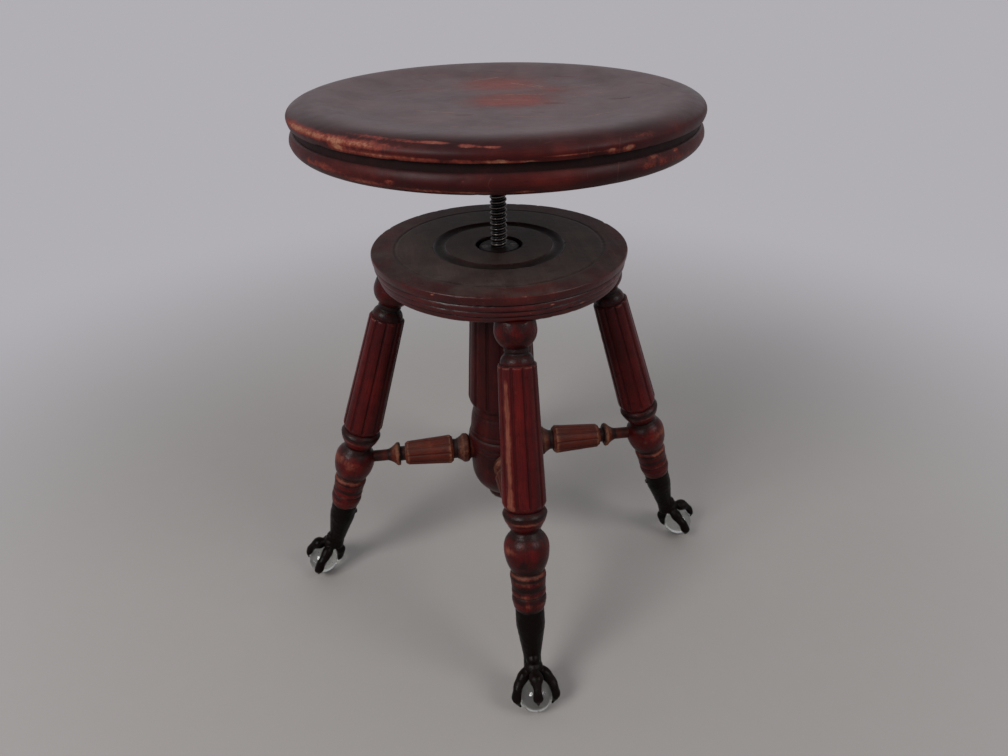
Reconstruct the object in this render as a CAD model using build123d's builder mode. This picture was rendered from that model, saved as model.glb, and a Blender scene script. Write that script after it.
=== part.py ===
from build123d import *
import math
import os

os.makedirs("parts", exist_ok=True)

# Revolving piano stool, millimetres, +Z up, origin on the floor under the middle of the screw.
# The legs stand towards +X, +Y, -X and -Y. The seat is about halfway along its screw.

# ---------------------------------------------------------------- driving dimensions

# seat board
seat_diameter = 356.0
seat_thickness = 39.0
seat_rim_roll = 10.0            # radius of the rolled upper edge
seat_dish_depth = 7.0
seat_dish_slope = 60.0          # width of the slope from the rim's crest to the flat
seat_groove_bottom = 17.5       # the groove between the lower moulding and the rolled edge
seat_groove_height = 6.6
seat_groove_depth = 4.5
seat_lip_inset = 1.2            # how far the lip over the groove stands inside the seat's radius

# base disc under the seat
base_thickness = 27.0
base_diameter = 244.0
base_ring_radius = 57.0         # round groove turned into the top face
base_ring_width = 12.0
base_ring_depth = 3.0
base_line_radius = 99.0         # fine scribed line near the edge
base_line_width = 2.0
base_line_depth = 0.6

# lifting screw: single-start round thread, right hand
screw_diameter = 16.0
thread_pitch = 5.08
thread_depth = 1.6
thread_clearance = 0.5          # all round: such a screw is a loose fit in its nut
turns_up = 14.5                 # travel from the rest height to the upper stop
turns_down = 15.0               # travel from the rest height to the lowest seat
lowest_gap = 3.3                # from the base disc to the flange at the lowest seat
shank_diameter = 14.0           # plain top end of the screw, inside the flange
shank_below_boss = 3.0
spigot_diameter = 9.0           # turned-down bottom end of the screw
spigot_length = 12.0
hub_pin_diameter = 5.0

# iron nut let into the base disc
nut_head_diameter = 39.0
nut_head_thickness = 5.0
nut_head_round = 2.5
nut_recess_diameter = 44.6
nut_recess_depth = 6.4
nut_square = 22.0
nut_nose_diameter = 24.8
nut_nose_length = 10.0
nut_screw_circle = 27.4
nut_screw_diameter = 3.4
nut_screw_head_diameter = 6.8
nut_screw_length = 12.0

# cast flange under the seat
flange_thickness = 5.0
flange_centre_diameter = 46.0
flange_arm_reach = 60.0
flange_arm_width = 18.0
flange_boss_diameter = 30.0
flange_boss_height = 15.0
flange_boss_fillet = 3.0
flange_screw_circle = 100.0
flange_screw_diameter = 5.0
flange_screw_head_diameter = 10.0
flange_screw_length = 22.0

# loose stop washer at the bottom of the screw, and the pin under it
washer_diameter = 23.0
washer_thickness = 3.0
washer_play = 0.4
washer_bore_play = 0.4
stop_pin_diameter = 2.5
stop_pin_length = 14.0

# centre post
post_top_radius = 29.0
post_shaft_radius = 36.1        # widest part of its reeded shaft
post_chamfer_length = 9.0
post_neck_length = 28.0
post_ring_radius = 37.4
post_ring_length = 25.0
post_hub_radius = 36.0          # the plain part that the stretchers enter
post_hub_length = 58.0
post_hub_above = 5.0            # of it above the stretchers' axis
post_button_radius = 17.6
post_button_length = 17.0
post_tenon_diameter = 40.0
post_tenon_length = 12.0
post_bore_diameter = 26.0
post_bore_spare = 10.0          # below the screw at the lowest seat
post_groove_count = 14          # narrow grooves that leave broad ribs between them
post_groove_radius = 2.0
post_groove_depth = 1.7
post_groove_turn = 5.4          # degrees from +X to the first groove

# legs
leg_splay = 16.9                # degrees from upright
leg_circle_radius = 100.0       # where the leg axes meet the base disc's underside
leg_tenon_diameter = 20.0
leg_tenon_length = 18.0
leg_tenon_root = 5.0            # inside the leg's head, below the slanting joint
leg_acorn_radius = 19.2
leg_acorn_length = 31.4
leg_shoulder_length = 12.6
leg_shaft_top_radius = 17.9
leg_shaft_bottom_radius = 20.8
leg_shaft_length = 127.4
leg_chamfer_length = 7.3
leg_collar_radius = 21.0
leg_collar_length = 22.0
leg_vase_radius = 21.4
leg_vase_length = 40.7
leg_vase_middle = 0.43          # share of its length down to its widest part
leg_ring_radius = 17.6
leg_ring_length = 16.6
leg_bead_radius = 16.6
leg_bead_length = 7.4
leg_foot_length = 15.6
leg_toe_length = 31.0           # tapered end inside the ferrule
leg_toe_radius = 10.2
leg_toe_taper = 2.0
leg_groove_count = 10
leg_groove_radius = 1.8
leg_groove_depth = 1.5

# stretchers from the centre post to the legs
stretcher_tenon_radius = 8.0    # end in the post
stretcher_tenon_length = 16.0
stretcher_collar_radius = 16.0
stretcher_collar_length = 14.4
stretcher_neck_radius = 10.8
stretcher_neck_length = 4.2
stretcher_barrel_radius = 16.1
stretcher_barrel_end_radius = 13.4
stretcher_barrel_length = 46.2
stretcher_chamfer_length = 3.2
stretcher_waist_radius = 8.0
stretcher_waist_length = 5.4
stretcher_bead_radius = 12.9
stretcher_bead_length = 13.1
stretcher_thin_radius = 6.3     # thin end, which enters the leg
stretcher_leg_depth = 14.0
stretcher_groove_count = 10
stretcher_groove_radius = 1.5
stretcher_groove_depth = 1.1

# claw feet, glass balls and the nails in the ferrules
ferrule_length = 61.0
ferrule_radius = 13.9
ankle_rise = 24.8               # from the ball's centre to the ferrule's lower end
ball_diameter = 32.0
ball_lead = 10.4                # how far the ball stands outside the leg's axis
nail_drop = 11.0                # below the ferrule's top
nail_diameter = 2.2
nail_length = 14.0
nail_head_diameter = 5.6
nail_head_height = 1.6

# clearances
glue_gap = 0.1                  # round joints in the wood and in the ferrules
pin_gap = 0.05                  # round pins, nails, screws and the nut's square
ball_gap = 0.15
bore_bottom_gap = 0.5

# ---------------------------------------------------------------- turned mouldings
# A moulding is a list of (share of its length, share of its radius, swell). The swell is how far
# the round cut up to that point stands out of a straight one, as a share of the radius.

plain = [(1.00, 1.000, 0)]
seat_foot = [(0.00, 0.933, 0), (0.54, 1.000, 0.015), (0.96, 0.984, 0.004), (1.00, 0.975, 0)]
base_edge = [
    (0.000, 0.931, 0), (0.215, 0.953, 0.010), (0.225, 0.946, 0),
    (0.245, 0.961, 0), (0.425, 0.962, 0.007), (0.435, 0.957, 0),
    (0.455, 0.976, 0), (0.655, 0.977, 0.008), (0.665, 0.972, 0),
    (0.685, 0.985, 0), (0.945, 0.999, 0.004), (1.000, 0.987, 0.004),
]
post_chamfer = [(0.20, 0.99, 0), (1.00, 0.87, 0.01)]
post_neck = [(0.28, 0.87, 0), (0.40, 0.90, 0.005), (1.00, 0.96, 0.015)]
post_rings = [
    (0.02, 0.920, 0), (0.24, 0.940, 0.012), (0.27, 0.925, 0), (0.30, 0.955, 0),
    (0.50, 1.000, 0.006), (0.66, 0.985, 0.004), (0.69, 0.940, 0), (0.73, 0.955, 0),
    (0.96, 0.955, 0.012), (1.00, 0.940, 0),
]
post_hub = [(0.02, 0.99, 0), (0.57, 0.965, 0.012), (0.97, 0.640, 0.062), (1.00, 0.600, 0)]
post_button = [(0.00, 0.98, 0), (0.40, 1.00, 0.02), (0.95, 0.45, 0.14), (1.00, 0.38, 0)]
acorn = [(-0.20, 0.80, 0), (0.40, 1.00, 0.03), (0.87, 0.62, 0.10), (0.90, 0.58, 0), (1.00, 0.59, 0)]
shoulder = [(0.22, 0.70, -0.02), (1.00, 1.00, 0.06)]
leg_chamfer = [(0.15, 0.99, 0), (1.00, 0.83, 0.01)]
collar = [(0.00, 0.83, 0), (0.60, 0.93, 0.10), (0.63, 0.88, 0), (0.94, 0.67, 0.03), (1.00, 0.65, 0)]
vase = [(0.10, 0.745, 0), (0.41, 1.000, 0.065), (1.00, 0.715, 0.085)]
ring = [(0.00, 0.87, 0), (0.42, 0.970, 0.05), (0.45, 0.945, 0), (1.00, 0.91, 0.01)]
bead = [(0.05, 0.95, 0), (0.95, 0.95, 0.035), (1.00, 0.93, 0)]
foot = [(0.05, 0.955, 0), (0.55, 0.955, 0.04), (1.00, 0.845, 0.02)]
neck = [(0.00, 1.00, 0), (1.00, 1.00, 0)]
barrel_start = [(0.00, 0.82, 0), (1.00, 1.00, 0)]
barrel_end = [(1.00, 0.82, 0)]
stretcher_collar = [(0.00, 0.78, 0), (0.32, 1.00, 0.06), (0.54, 0.98, 0.01), (0.96, 0.72, -0.03)]
stretcher_bead = [(0.00, 0.90, 0), (0.18, 1.00, 0.03), (0.35, 0.93, 0.02), (1.00, 0.50, -0.05)]
ferrule = [(0.00, 1.00, 0), (0.26, 1.00, 0), (0.40, 0.93, 0.01), (0.86, 0.62, -0.01), (1.06, 0.64, -0.01)]

# The palm, wrist and toes of a claw: stations (outward, sideways, up, half thickness) from the
# ball's centre, in shares of the ball's radius. The thick stations of a toe are its knuckles.
palm_and_wrist = [(-0.78, 0, 1.56, 0.58), (-0.95, 0, 2.10, 0.44)]
outer_toe = [
    (-0.84, 0, 1.75, 0.34), (-0.22, 0, 1.69, 0.30), (0.36, 0, 1.50, 0.35), (0.66, 0, 1.27, 0.25),
    (0.86, 0, 0.98, 0.27), (0.97, 0, 0.66, 0.15), (0.99, 0, 0.40, 0.06),
]
inner_toe = [
    (-1.02, 0, 1.62, 0.37), (-1.22, 0, 1.15, 0.28), (-1.31, 0, 0.75, 0.31), (-1.25, 0, 0.40, 0.22),
    (-1.16, 0, 0.10, 0.15), (-1.05, 0, -0.16, 0.06),
]
side_toe = [
    (-0.97, 0, 1.63, 0.40), (-0.66, 0.44, 1.38, 0.31), (-0.34, 0.80, 1.08, 0.34),
    (-0.05, 1.04, 0.67, 0.25), (0.16, 1.12, 0.25, 0.27), (0.28, 1.08, -0.14, 0.15),
    (0.32, 0.97, -0.42, 0.06),
]

quarter_swell = 1 - math.sqrt(0.5)      # swell of a quarter round, as a share of its radius


def turning(start, direction, mouldings):
    """Steps of an outline: mouldings (shape, length, radius) end to end, up (1) or down (-1)."""
    steps = []
    for shape, length, radius in mouldings:
        for along, out, swell in shape:
            steps.append((radius * out, start + direction * length * along, radius * swell))
        start += direction * length
    return steps


def turned_outline(steps):
    """The edges of half a turned piece, from the axis out through the steps and back to the axis.

    A step is (radius, height, swell): the line up to it is straight, or round where it swells.
    """
    outward = 1 if steps[-1][1] > steps[0][1] else -1
    corners = [(0, steps[0][1], 0), *steps, (0, steps[-1][1], 0)]
    with BuildLine() as outline:
        for (radius, height, _), (next_radius, next_height, swell) in zip(corners, corners[1:]):
            start = Vector(radius, height)
            end = Vector(next_radius, next_height)
            if swell:
                chord = end - start
                normal = Vector(chord.Y, -chord.X).normalized() * outward
                ThreePointArc(start, (start + end) * 0.5 + normal * swell, end)
            else:
                Line(start, end)
        Line((0, steps[-1][1]), (0, steps[0][1]))
    return outline.edges()


def upright(height):
    """The plane of X and Z, with its origin at a height: a turned outline is drawn on it."""
    return Plane(origin=(0, 0, height), x_dir=(1, 0, 0), z_dir=(0, -1, 0))


# ---------------------------------------------------------------- places worked out from the sizes

seat_radius = seat_diameter / 2
base_radius = base_diameter / 2
ball_radius = ball_diameter / 2

# legs: the drop of each moulding below the base disc, along the leg
leg_mouldings = [
    (acorn, leg_acorn_length, leg_acorn_radius),
    (shoulder, leg_shoulder_length, leg_shaft_top_radius),
    (plain, leg_shaft_length, leg_shaft_bottom_radius),
    (leg_chamfer, leg_chamfer_length, leg_shaft_bottom_radius),
    (collar, leg_collar_length, leg_collar_radius),
    (vase, leg_vase_length, leg_vase_radius),
    (ring, leg_ring_length, leg_ring_radius),
    (bead, leg_bead_length, leg_bead_radius),
    (foot, leg_foot_length, leg_bead_radius),
]
leg_shaft_drop = leg_acorn_length + leg_shoulder_length
leg_collar_drop = leg_shaft_drop + leg_shaft_length + leg_chamfer_length
leg_vase_middle_drop = leg_collar_drop + leg_collar_length + leg_vase_middle * leg_vase_length
leg_length = sum(length for _, length, _ in leg_mouldings)

splay = math.radians(leg_splay)
ankle_height = ball_radius + ankle_rise
base_underside_height = ankle_height + (leg_length + ferrule_length) * math.cos(splay)
leg_up = Vector(-math.sin(splay), 0, math.cos(splay))
leg_across = Vector(math.cos(splay), 0, math.sin(splay))
leg_head = Vector(leg_circle_radius, 0, base_underside_height)
leg_axis = Axis(leg_head, leg_up)
leg_frame = Plane(origin=leg_head, x_dir=leg_across, z_dir=leg_up)
leg_side = Plane(origin=leg_head, x_dir=leg_across, z_dir=(0, -1, 0))


def leg_axis_radius(height):
    """How far the leg's axis is from the stool's axis at a height."""
    return leg_circle_radius + (base_underside_height - height) * math.tan(splay)


ball_centre = Vector(leg_axis_radius(ball_radius) + ball_lead, 0, ball_radius)

# stretchers
stretcher_height = base_underside_height - leg_vase_middle_drop * math.cos(splay)
stretcher_start = post_ring_radius + glue_gap
stretcher_end = leg_axis_radius(stretcher_height) - leg_vase_radius / math.cos(splay) + stretcher_leg_depth
stretcher_frame = Plane(origin=(0, 0, stretcher_height), x_dir=(0, 0, 1), z_dir=(1, 0, 0))
stretcher_side = Plane(origin=(0, 0, stretcher_height), x_dir=(0, 0, 1), z_dir=(0, 1, 0))
stretcher_mouldings = [
    (stretcher_collar, stretcher_collar_length, stretcher_collar_radius),
    (neck, stretcher_neck_length, stretcher_neck_radius),
    (barrel_start, stretcher_chamfer_length, stretcher_barrel_radius),
    (plain, stretcher_barrel_length, stretcher_barrel_end_radius),
    (barrel_end, stretcher_chamfer_length, stretcher_barrel_end_radius),
    (neck, stretcher_waist_length, stretcher_waist_radius),
    (stretcher_bead, stretcher_bead_length, stretcher_bead_radius),
]
stretcher_barrel_start = stretcher_start + stretcher_collar_length + stretcher_neck_length
stretcher_bead_end = stretcher_start + sum(length for _, length, _ in stretcher_mouldings)

# centre post: its shaft fills the height above the rings
post_rings_height = stretcher_height + post_hub_above + post_ring_length
post_shaft_end_height = post_rings_height + post_neck_length + post_chamfer_length
post_shaft_length = base_underside_height - post_shaft_end_height
post_mouldings = [
    (plain, post_shaft_length, post_shaft_radius),
    (post_chamfer, post_chamfer_length, post_shaft_radius),
    (post_neck, post_neck_length, post_hub_radius),
    (post_rings, post_ring_length, post_ring_radius),
    (post_hub, post_hub_length, post_hub_radius),
    (post_button, post_button_length, post_button_radius),
]

# base disc, nut, screw and seat
base_top_height = base_underside_height + base_thickness
nut_seat_height = base_top_height - nut_recess_depth
nut_top_height = nut_seat_height + nut_head_thickness
post_tenon_height = base_underside_height + post_tenon_length
nut_nose_height = post_tenon_height - nut_nose_length

boss_underside_height = base_top_height + lowest_gap + turns_down * thread_pitch
flange_underside_height = boss_underside_height + flange_boss_height
seat_underside_height = flange_underside_height + flange_thickness
thread_bottom_height = nut_nose_height - turns_up * thread_pitch
thread_length = boss_underside_height - shank_below_boss - thread_bottom_height
washer_underside_height = thread_bottom_height - washer_play - washer_thickness
stop_pin_height = washer_underside_height - washer_play - stop_pin_diameter / 2
spigot_bottom_height = thread_bottom_height - spigot_length
post_bore_bottom_height = spigot_bottom_height - turns_down * thread_pitch - post_bore_spare

# frames whose Z runs along each pin and nail
hub_pin_height = flange_underside_height - flange_boss_height / 2
hub_pin_frame = Plane(origin=(0, 0, hub_pin_height), x_dir=(0, 0, 1), z_dir=(1, 0, 0))
stop_pin_frame = Plane(origin=(0, 0, stop_pin_height), x_dir=(0, 0, 1), z_dir=(1, 0, 0))
nail_middle = leg_head - leg_up * (leg_length + nail_drop)
nail_frame = Plane(origin=nail_middle, x_dir=leg_up, z_dir=-leg_across)
nail_start = ferrule_radius - nail_length

# the leg, stretcher, claw and ball are modelled towards +X, and each place is a turn about Z
places = {"right": 0, "rear": 90, "left": 180, "front": 270}


def export_at_each_place(part, name):
    """Write a piece that is modelled towards +X at each of its four places."""
    for place, angle in places.items():
        piece = part.rotate(Axis.Z, angle)
        piece.label = f"{name}_{place}"
        export_step(piece, f"parts/{name}_{place}.step")


def thread_core(radius, bottom, length):
    """A circle carried round a slim helix without turning itself: a round, one-start thread.

    Its turn is counted from the foot of the screw's thread, so all such cores are in step.
    """
    phase = 360 * (bottom - thread_bottom_height) / thread_pitch
    offset = thread_depth / 2
    with BuildPart() as core:
        with BuildLine():
            spine = Helix(thread_pitch, length, offset, center=(0, 0, bottom))
        with BuildSketch(Plane.XY.offset(bottom)):
            with Locations((offset, 0)):
                Circle(radius)
        sweep(path=spine, normal=(0, 0, 1))
    return core.part.rotate(Axis.Z, phase)


def rod(frame, radius, start, end):
    """A plain cylinder along a frame's Z, from one distance to another."""
    with BuildPart(frame.offset(start)) as cylinder:
        Cylinder(radius, end - start, align=(Align.CENTER, Align.CENTER, Align.MIN))
    return cylinder.part


def groove_cutter(radius, length, taper):
    """A round cutter hanging down Z, tilted out by a taper."""
    with BuildPart() as cutter:
        Cylinder(radius, length, align=(Align.CENTER, Align.CENTER, Align.MAX))
    return cutter.part.rotate(Axis.Y, -math.degrees(math.atan(taper)))


def toe(stations):
    """One toe of a claw: round sections carried through its stations, with a rounded tip."""
    middles = [ball_centre + Vector(*station[:3]) * ball_radius for station in stations]
    with BuildPart() as limb:
        with BuildLine(mode=Mode.PRIVATE):
            spine = Spline(*middles)
        for middle, station in zip(middles, stations):
            tangent = spine.tangent_at(middle)
            sideways = tangent.cross(middle - ball_centre)
            with BuildSketch(Plane(origin=middle, x_dir=sideways, z_dir=tangent)):
                Circle(station[3] * ball_radius)
        loft()
        with Locations(middles[-1]):
            Sphere(stations[-1][3] * ball_radius)
    return limb.part


def screw_blank(diameter, head_diameter, length):
    """A countersunk wood screw without its slot, point down, its head's flat at the origin."""
    radius = diameter / 2
    head_radius = head_diameter / 2
    point = diameter
    with BuildPart() as blank:
        with BuildSketch(Plane.XZ):
            make_face(turned_outline([
                (head_radius, 0, 0),
                (radius, radius - head_radius, 0),
                (radius, point - length, 0),
                (radius * 0.1, -length, 0),
            ]))
        revolve(axis=Axis.Z)
    return blank.part


def slotted_screw(diameter, head_diameter, length):
    """A countersunk wood screw with its slot."""
    with BuildPart() as screw:
        add(screw_blank(diameter, head_diameter, length))
        slot_depth = diameter / 4
        Box(
            head_diameter, diameter / 4, slot_depth,
            align=(Align.CENTER, Align.CENTER, Align.MAX), mode=Mode.SUBTRACT,
        )
    return screw.part


def screw_hole(diameter, head_diameter, length):
    """The hole for a countersunk wood screw."""
    return screw_blank(diameter + 2 * pin_gap, head_diameter + 2 * pin_gap, length + pin_gap)


# ---------------------------------------------------------------- seat

seat_crest_radius = seat_radius - seat_rim_roll
seat_roll_height = seat_thickness - seat_rim_roll
seat_groove_top = seat_groove_bottom + seat_groove_height

with BuildPart() as seat:
    with BuildSketch(upright(seat_underside_height)):
        make_face(turned_outline([
            *turning(0, 1, [(seat_foot, seat_groove_bottom, seat_radius)]),
            (seat_radius - seat_groove_depth, seat_groove_bottom, 0),
            (seat_radius - seat_groove_depth, seat_groove_top, 0),
            (seat_radius - seat_lip_inset, seat_groove_top, 0),
            (seat_radius, seat_roll_height, 0.1 * seat_lip_inset),
            (seat_crest_radius, seat_thickness, quarter_swell * seat_rim_roll),
        ]))
    revolve(axis=Axis.Z)
    with BuildSketch(upright(seat_underside_height + seat_thickness)):
        with BuildLine():
            crest = (seat_crest_radius, 0)
            flat_edge = (seat_crest_radius - seat_dish_slope, -seat_dish_depth)
            Spline(crest, flat_edge, tangents=[(-1, 0), (-1, 0)])
            Polyline(flat_edge, (0, -seat_dish_depth), (0, 1), (seat_crest_radius, 1), crest)
        make_face()
    revolve(axis=Axis.Z, mode=Mode.SUBTRACT)
    with Locations(Plane.XY.offset(flange_underside_height)):
        with PolarLocations(flange_screw_circle / 2, 4, start_angle=45):
            hole = screw_hole(flange_screw_diameter, flange_screw_head_diameter, flange_screw_length)
            add(hole, rotation=(180, 0, 0), mode=Mode.SUBTRACT)

seat.part.label = "seat"
export_step(seat.part, "parts/seat.step")


# ---------------------------------------------------------------- seat flange and its screws

with BuildPart() as seat_flange:
    with BuildSketch(Plane.XY.offset(flange_underside_height)):
        Circle(flange_centre_diameter / 2)
        with PolarLocations(0, 4, start_angle=45):
            SlotCenterPoint((0, 0), (flange_arm_reach - flange_arm_width / 2, 0), flange_arm_width)
    extrude(amount=flange_thickness)
    with Locations(Plane.XY.offset(flange_underside_height)):
        Cylinder(
            flange_boss_diameter / 2, flange_boss_height,
            align=(Align.CENTER, Align.CENTER, Align.MAX),
        )
    root = seat_flange.edges().filter_by(GeomType.CIRCLE).filter_by(
        lambda edge: abs(edge.radius - flange_boss_diameter / 2) < 0.01
    ).sort_by(Axis.Z)[-1]
    fillet(root, flange_boss_fillet)
    add(rod(Plane.XY, shank_diameter / 2 + pin_gap, 0, seat_underside_height), mode=Mode.SUBTRACT)
    add(rod(hub_pin_frame, hub_pin_diameter / 2 + pin_gap, -seat_radius, seat_radius), mode=Mode.SUBTRACT)
    with Locations(Plane.XY.offset(flange_underside_height)):
        with PolarLocations(flange_screw_circle / 2, 4, start_angle=45):
            hole = screw_hole(flange_screw_diameter, flange_screw_head_diameter, flange_screw_length)
            add(hole, rotation=(180, 0, 0), mode=Mode.SUBTRACT)

seat_flange.part.label = "seat_flange"
export_step(seat_flange.part, "parts/seat_flange.step")

with BuildPart() as seat_flange_screws:
    with Locations(Plane.XY.offset(flange_underside_height)):
        with PolarLocations(flange_screw_circle / 2, 4, start_angle=45):
            screw = slotted_screw(flange_screw_diameter, flange_screw_head_diameter, flange_screw_length)
            add(screw, rotation=(180, 0, 0))

seat_flange_screws.part.label = "seat_flange_screws"
export_step(seat_flange_screws.part, "parts/seat_flange_screws.step")

# ---------------------------------------------------------------- screw, its pins and stop washer

with BuildPart() as screw_rod:
    add(thread_core((screw_diameter - thread_depth) / 2, thread_bottom_height, thread_length))
    add(rod(Plane.XY, shank_diameter / 2, thread_bottom_height + thread_length, seat_underside_height))
    add(rod(Plane.XY, spigot_diameter / 2, spigot_bottom_height, thread_bottom_height))
    add(rod(hub_pin_frame, hub_pin_diameter / 2 + pin_gap, -seat_radius, seat_radius), mode=Mode.SUBTRACT)
    add(rod(stop_pin_frame, stop_pin_diameter / 2 + pin_gap, -seat_radius, seat_radius), mode=Mode.SUBTRACT)

screw_rod.part.label = "screw_rod"
export_step(screw_rod.part, "parts/screw_rod.step")

with BuildPart() as hub_pin:
    add(rod(hub_pin_frame, hub_pin_diameter / 2, -flange_boss_diameter / 2, flange_boss_diameter / 2))

hub_pin.part.label = "hub_pin"
export_step(hub_pin.part, "parts/hub_pin.step")

with BuildPart() as stop_washer:
    with BuildSketch(Plane.XY.offset(washer_underside_height)):
        Circle(washer_diameter / 2)
        Circle(spigot_diameter / 2 + washer_bore_play, mode=Mode.SUBTRACT)
    extrude(amount=washer_thickness)

stop_washer.part.label = "stop_washer"
export_step(stop_washer.part, "parts/stop_washer.step")

with BuildPart() as stop_pin:
    add(rod(stop_pin_frame, stop_pin_diameter / 2, -stop_pin_length / 2, stop_pin_length / 2))

stop_pin.part.label = "stop_pin"
export_step(stop_pin.part, "parts/stop_pin.step")

# ---------------------------------------------------------------- nut and its screws

with BuildPart() as nut_plate:
    with Locations(Plane.XY.offset(nut_seat_height)):
        Cylinder(
            nut_head_diameter / 2, nut_head_thickness,
            align=(Align.CENTER, Align.CENTER, Align.MIN),
        )
    fillet(nut_plate.edges().sort_by(Axis.Z)[-1], nut_head_round)
    with BuildSketch(Plane.XY.offset(post_tenon_height)):
        Rectangle(nut_square, nut_square)
    extrude(amount=nut_seat_height - post_tenon_height)
    add(rod(Plane.XY, nut_nose_diameter / 2, nut_nose_height, post_tenon_height))
    core_start = nut_nose_height - thread_pitch
    core_length = nut_top_height - nut_nose_height + 2 * thread_pitch
    core_radius = (screw_diameter - thread_depth) / 2 + thread_clearance
    add(thread_core(core_radius, core_start, core_length), mode=Mode.SUBTRACT)
    with Locations(Plane.XY.offset(nut_top_height)):
        with PolarLocations(nut_screw_circle / 2, 2):
            hole = screw_hole(nut_screw_diameter, nut_screw_head_diameter, nut_screw_length)
            add(hole, mode=Mode.SUBTRACT)

nut_plate.part.label = "nut_plate"
export_step(nut_plate.part, "parts/nut_plate.step")

with BuildPart() as nut_screws:
    with Locations(Plane.XY.offset(nut_top_height)):
        with PolarLocations(nut_screw_circle / 2, 2):
            add(slotted_screw(nut_screw_diameter, nut_screw_head_diameter, nut_screw_length))

nut_screws.part.label = "nut_screws"
export_step(nut_screws.part, "parts/nut_screws.step")

# ---------------------------------------------------------------- base disc

with BuildPart() as base_disc:
    with BuildSketch(upright(base_underside_height)):
        make_face(turned_outline(turning(0, 1, [(base_edge, base_thickness, base_radius)])))
    revolve(axis=Axis.Z)
    with BuildSketch(upright(base_top_height)):
        with BuildLine():
            ring_inside = (base_ring_radius - base_ring_width / 2, 0)
            ring_outside = (base_ring_radius + base_ring_width / 2, 0)
            ThreePointArc(ring_inside, (base_ring_radius, -base_ring_depth), ring_outside)
            Line(ring_outside, ring_inside)
        make_face()
        with BuildLine():
            Polyline(
                (base_line_radius - base_line_width / 2, 0),
                (base_line_radius, -base_line_depth),
                (base_line_radius + base_line_width / 2, 0),
                close=True,
            )
        make_face()
    revolve(axis=Axis.Z, mode=Mode.SUBTRACT)
    add(rod(Plane.XY, nut_recess_diameter / 2, nut_seat_height, base_top_height), mode=Mode.SUBTRACT)
    with BuildSketch(Plane.XY.offset(base_underside_height)):
        Rectangle(nut_square + 2 * pin_gap, nut_square + 2 * pin_gap)
    extrude(amount=base_thickness, mode=Mode.SUBTRACT)
    post_hole = rod(Plane.XY, post_tenon_diameter / 2 + glue_gap, base_underside_height, post_tenon_height)
    add(post_hole, mode=Mode.SUBTRACT)
    with PolarLocations(0, 4):
        leg_hole = rod(
            leg_frame, leg_tenon_diameter / 2 + glue_gap, -leg_tenon_root, leg_tenon_length + glue_gap,
        )
        add(leg_hole, mode=Mode.SUBTRACT)
    with Locations(Plane.XY.offset(nut_top_height)):
        with PolarLocations(nut_screw_circle / 2, 2):
            hole = screw_hole(nut_screw_diameter, nut_screw_head_diameter, nut_screw_length)
            add(hole, mode=Mode.SUBTRACT)

base_disc.part.label = "base_disc"
export_step(base_disc.part, "parts/base_disc.step")

# ---------------------------------------------------------------- centre post

post_taper = (post_shaft_radius - post_top_radius) / post_shaft_length
post_groove_circle = post_top_radius + post_groove_radius - post_groove_depth
post_groove_run = post_shaft_length + post_chamfer_length

with BuildPart() as centre_post:
    with BuildSketch(upright(base_underside_height)):
        make_face(turned_outline([
            (post_tenon_diameter / 2, post_tenon_length, 0),
            (post_tenon_diameter / 2, 0, 0),
            (post_top_radius, 0, 0),
            *turning(0, -1, post_mouldings),
        ]))
    revolve(axis=Axis.Z)
    with Locations(Plane.XY.offset(base_underside_height)):
        with PolarLocations(post_groove_circle, post_groove_count, start_angle=post_groove_turn):
            add(groove_cutter(post_groove_radius, post_groove_run, post_taper), mode=Mode.SUBTRACT)
    bore = rod(Plane.XY, post_bore_diameter / 2, post_bore_bottom_height, post_tenon_height)
    add(bore, mode=Mode.SUBTRACT)
    with PolarLocations(0, 4):
        stretcher_hole = rod(
            stretcher_frame, stretcher_tenon_radius + glue_gap,
            stretcher_start - stretcher_tenon_length - bore_bottom_gap, post_ring_radius + bore_bottom_gap,
        )
        add(stretcher_hole, mode=Mode.SUBTRACT)

centre_post.part.label = "centre_post"
export_step(centre_post.part, "parts/centre_post.step")

# ---------------------------------------------------------------- legs

# The grooves run out over the shoulder at the top and over the chamfer at the bottom. The leg's
# outward line is the middle of a rib.
leg_taper = (leg_shaft_bottom_radius - leg_shaft_top_radius) / leg_shaft_length
leg_groove_inside = leg_shaft_top_radius - leg_taper * leg_shoulder_length - leg_groove_depth
leg_groove_circle = leg_groove_inside + leg_groove_radius
leg_groove_run = leg_shoulder_length + leg_shaft_length + leg_chamfer_length

with BuildPart() as leg:
    with BuildSketch(leg_side):
        make_face(turned_outline([
            *turning(0, -1, leg_mouldings),
            (leg_toe_radius, -leg_length, 0),
            (leg_toe_radius - leg_toe_taper, -leg_length - leg_toe_length, 0),
        ]))
    revolve(axis=leg_axis)
    with Locations(leg_frame.offset(-leg_acorn_length)):
        with PolarLocations(leg_groove_circle, leg_groove_count, start_angle=180 / leg_groove_count):
            add(groove_cutter(leg_groove_radius, leg_groove_run, leg_taper), mode=Mode.SUBTRACT)
    split(bisect_by=Plane.XY.offset(base_underside_height), keep=Keep.BOTTOM)
    add(rod(leg_frame, leg_tenon_diameter / 2, -leg_tenon_root, leg_tenon_length))
    stretcher_hole = rod(stretcher_frame, stretcher_thin_radius + glue_gap, 0, stretcher_end + bore_bottom_gap)
    add(stretcher_hole, mode=Mode.SUBTRACT)
    add(rod(nail_frame, nail_diameter / 2 + pin_gap, nail_start, ferrule_radius), mode=Mode.SUBTRACT)

export_at_each_place(leg.part, "leg")

# ---------------------------------------------------------------- stretchers

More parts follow.
